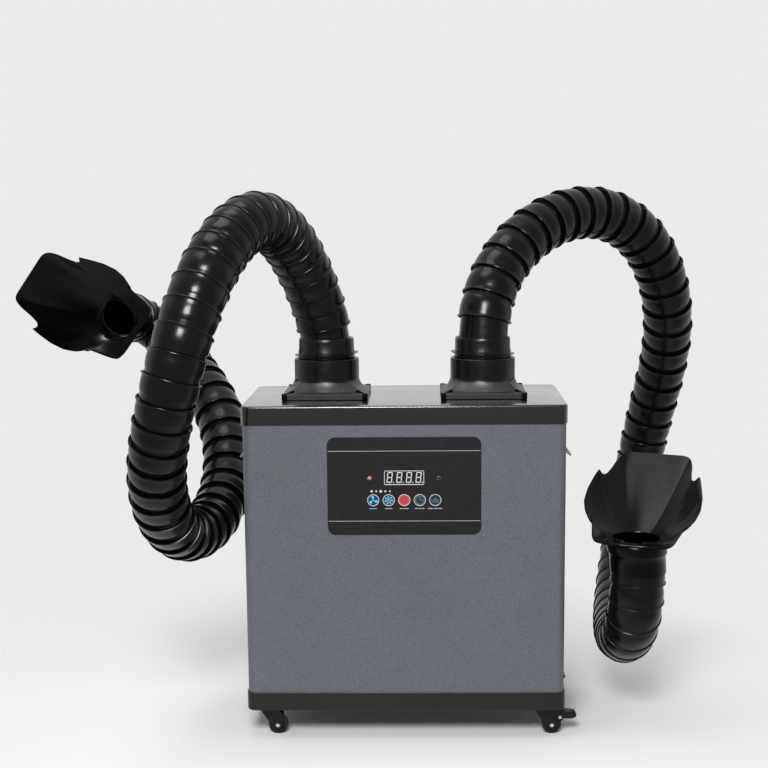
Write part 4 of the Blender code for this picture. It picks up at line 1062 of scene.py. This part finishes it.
def brake_pedal(name, pivot):
    """A ribbed foot plate on a riveted pin."""
    x, y, z = pivot
    side = (
        (-0.0020, 0.0005), (-0.0012, 0.0030), (0.0055, 0.0064), (0.0100, 0.0068), (0.0200, 0.0050),
        (0.0222, 0.0034), (0.0224, 0.0006), (0.0200, -0.0016), (0.0155, -0.0030), (0.0080, -0.0028),
        (0.0025, -0.0020),
    )
    rivet = ((0, 0.0125), (0.0012, 0.0124), (0.0023, 0.0115), (0.0024, 0.0107), (0.0021, 0.0104))
    bm = bmesh.new()
    outline_into(bm, [(x + a, z + b) for a, b in side], y - 0.0078, y + 0.0078)
    for n in range(4):
        left = x + 0.0085 + n * 0.0034
        top = z + 0.0066 - 0.00025 * n
        box_into(bm, (left, y - 0.0074, top - 0.001), (left + 0.0014, y + 0.0074, top + 0.0009), 0.0003)
        rib = [(left, z + 0.0040), (left + 0.0014, z + 0.0045), (left - 0.0008, z - 0.0014)]
        rib.append((left - 0.0022, z - 0.0014))
        outline_into(bm, rib, y - 0.0083, y - 0.0077)
    lathe_into(bm, both_ends(rivet), pivot, Y_AXIS, 20, 1)
    add_piece(f"{name}_tread", bm, [LOOKS["satin_plastic"], RIVET], name, [name], "satin_plastic")


# ---------------- stage
def floor_look():
    """A pale matt floor that thins out with distance, so that it runs into the room without an edge."""
    material = surface("floor_look", (0.68, 0.677, 0.675), 0.8, 0.003, 3, 60, 0.0, specular=0.1)
    tree = material.node_tree
    coords = tree.nodes.new("ShaderNodeTexCoord").outputs["Object"]
    length = tree.nodes.new("ShaderNodeVectorMath")
    length.operation = "LENGTH"
    link(tree, coords, length.inputs[0])
    clear = tree.nodes.new("ShaderNodeBsdfTransparent")
    mix = tree.nodes.new("ShaderNodeMixShader")
    fade = ramp(tree, length.outputs["Value"], 0.0, 1.0, 0.30, 0.80)
    link(tree, fade, mix.inputs[0])
    link(tree, tree.nodes["Principled BSDF"].outputs[0], mix.inputs[1])
    link(tree, clear.outputs[0], mix.inputs[2])
    link(tree, mix.outputs[0], tree.nodes["Material Output"].inputs["Surface"])
    return material


def pale_room():
    """An even pale room, dimmer on the side that the control panel faces."""
    world = bpy.data.worlds.new("studio")
    SCENE.world = world
    world.use_nodes = True
    tree = world.node_tree
    coords = tree.nodes.new("ShaderNodeTexCoord").outputs["Generated"]
    turned = tree.nodes.new("ShaderNodeVectorMath")
    turned.operation = "DOT_PRODUCT"
    turned.inputs[1].default_value = (0.0, 1.0, 0.20)
    link(tree, coords, turned.inputs[0])
    background = tree.nodes["Background"]
    background.inputs["Color"].default_value = ROOM_COLOUR
    strength = ramp(tree, turned.outputs["Value"], DIM_FRONT, 1.0, -0.22, 0.12)
    link(tree, strength, background.inputs["Strength"])


def floor():
    bm = bmesh.new()
    bm.faces.new([bm.verts.new((x, y, 0)) for x, y in ((-6, -4), (6, -4), (6, 8), (-6, 8))])
    sheet = bpy.data.objects.new("floor", finish_mesh(bm, "floor"))
    sheet.data.materials.append(floor_look())
    SCENE.collection.objects.link(sheet)


def area_light(name, place, target, size, power):
    data = bpy.data.lights.new(name, "AREA")
    data.shape = "RECTANGLE"
    data.size, data.size_y = size, size
    data.energy = power
    light = bpy.data.objects.new(name, data)
    light.location = place
    light.rotation_euler = (Vector(target) - Vector(place)).to_track_quat("-Z", "Y").to_euler()
    SCENE.collection.objects.link(light)


def photo_camera():
    data = bpy.data.cameras.new("camera")
    data.lens = CAMERA_LENS
    data.shift_y = CAMERA_SHIFT
    camera = bpy.data.objects.new("camera", data)
    turn = Matrix.Rotation(CAMERA_YAW, 4, "Z")
    turn = turn @ Matrix.Rotation(math.radians(90) - CAMERA_PITCH, 4, "X")
    turn = turn @ Matrix.Rotation(CAMERA_ROLL, 4, "Z")
    camera.matrix_world = Matrix.Translation(CABINET + CAMERA_PLACE) @ turn
    SCENE.collection.objects.link(camera)
    SCENE.camera = camera
    SCENE.view_settings.view_transform = "Standard"


def finish_cad_nodes():
    """Give each CAD node the material of its slot, for the ones that nothing replaces."""
    slots = {s["node"]: s["material_slot"] for s in frame["record"]["subparts"]}
    for name, obj in frame["nodes"].items():
        obj.data.materials.clear()
        obj.data.materials.append(LOOKS[slots[name]])


floor()
pale_room()
area_light("key", (-0.15, -2.5, 1.9), (0, 0, 0.3), 0.8, 95)
area_light("overhead", (-0.5, -0.3, 2.6), (0, 0, 0), 1.2, 16)
photo_camera()
finish_cad_nodes()
cabinet_shell()
lid_cover()
base_pan()
panel_film()
panel_print()
display()
buttons()
for side, x in (("left", -DUCT_X), ("right", DUCT_X)):
    flange(side, x)
    cuff(side, x)
ribbed_duct("left", LEFT_ROUTE, LEFT_SPACING, LEFT_FIRST_RIM, LEFT_LINKS, LEFT_SEED)
ribbed_duct("right", RIGHT_ROUTE, RIGHT_SPACING, RIGHT_FIRST_RIM, RIGHT_LINKS, RIGHT_SEED)
hood("left", LEFT_ROUTE, LEFT_HOOD_AXES, 0.0)
hood("right", RIGHT_ROUTE, RIGHT_HOOD_AXES, COLLAR_SHIFT)
for x_sign, side in ((-1, "left"), (1, "right")):
    for y_sign, end in ((-1, "front"), (1, "rear")):
        caster(f"{end}_{side}", x_sign * CASTER_X, y_sign * CASTER_Y, side == "right")
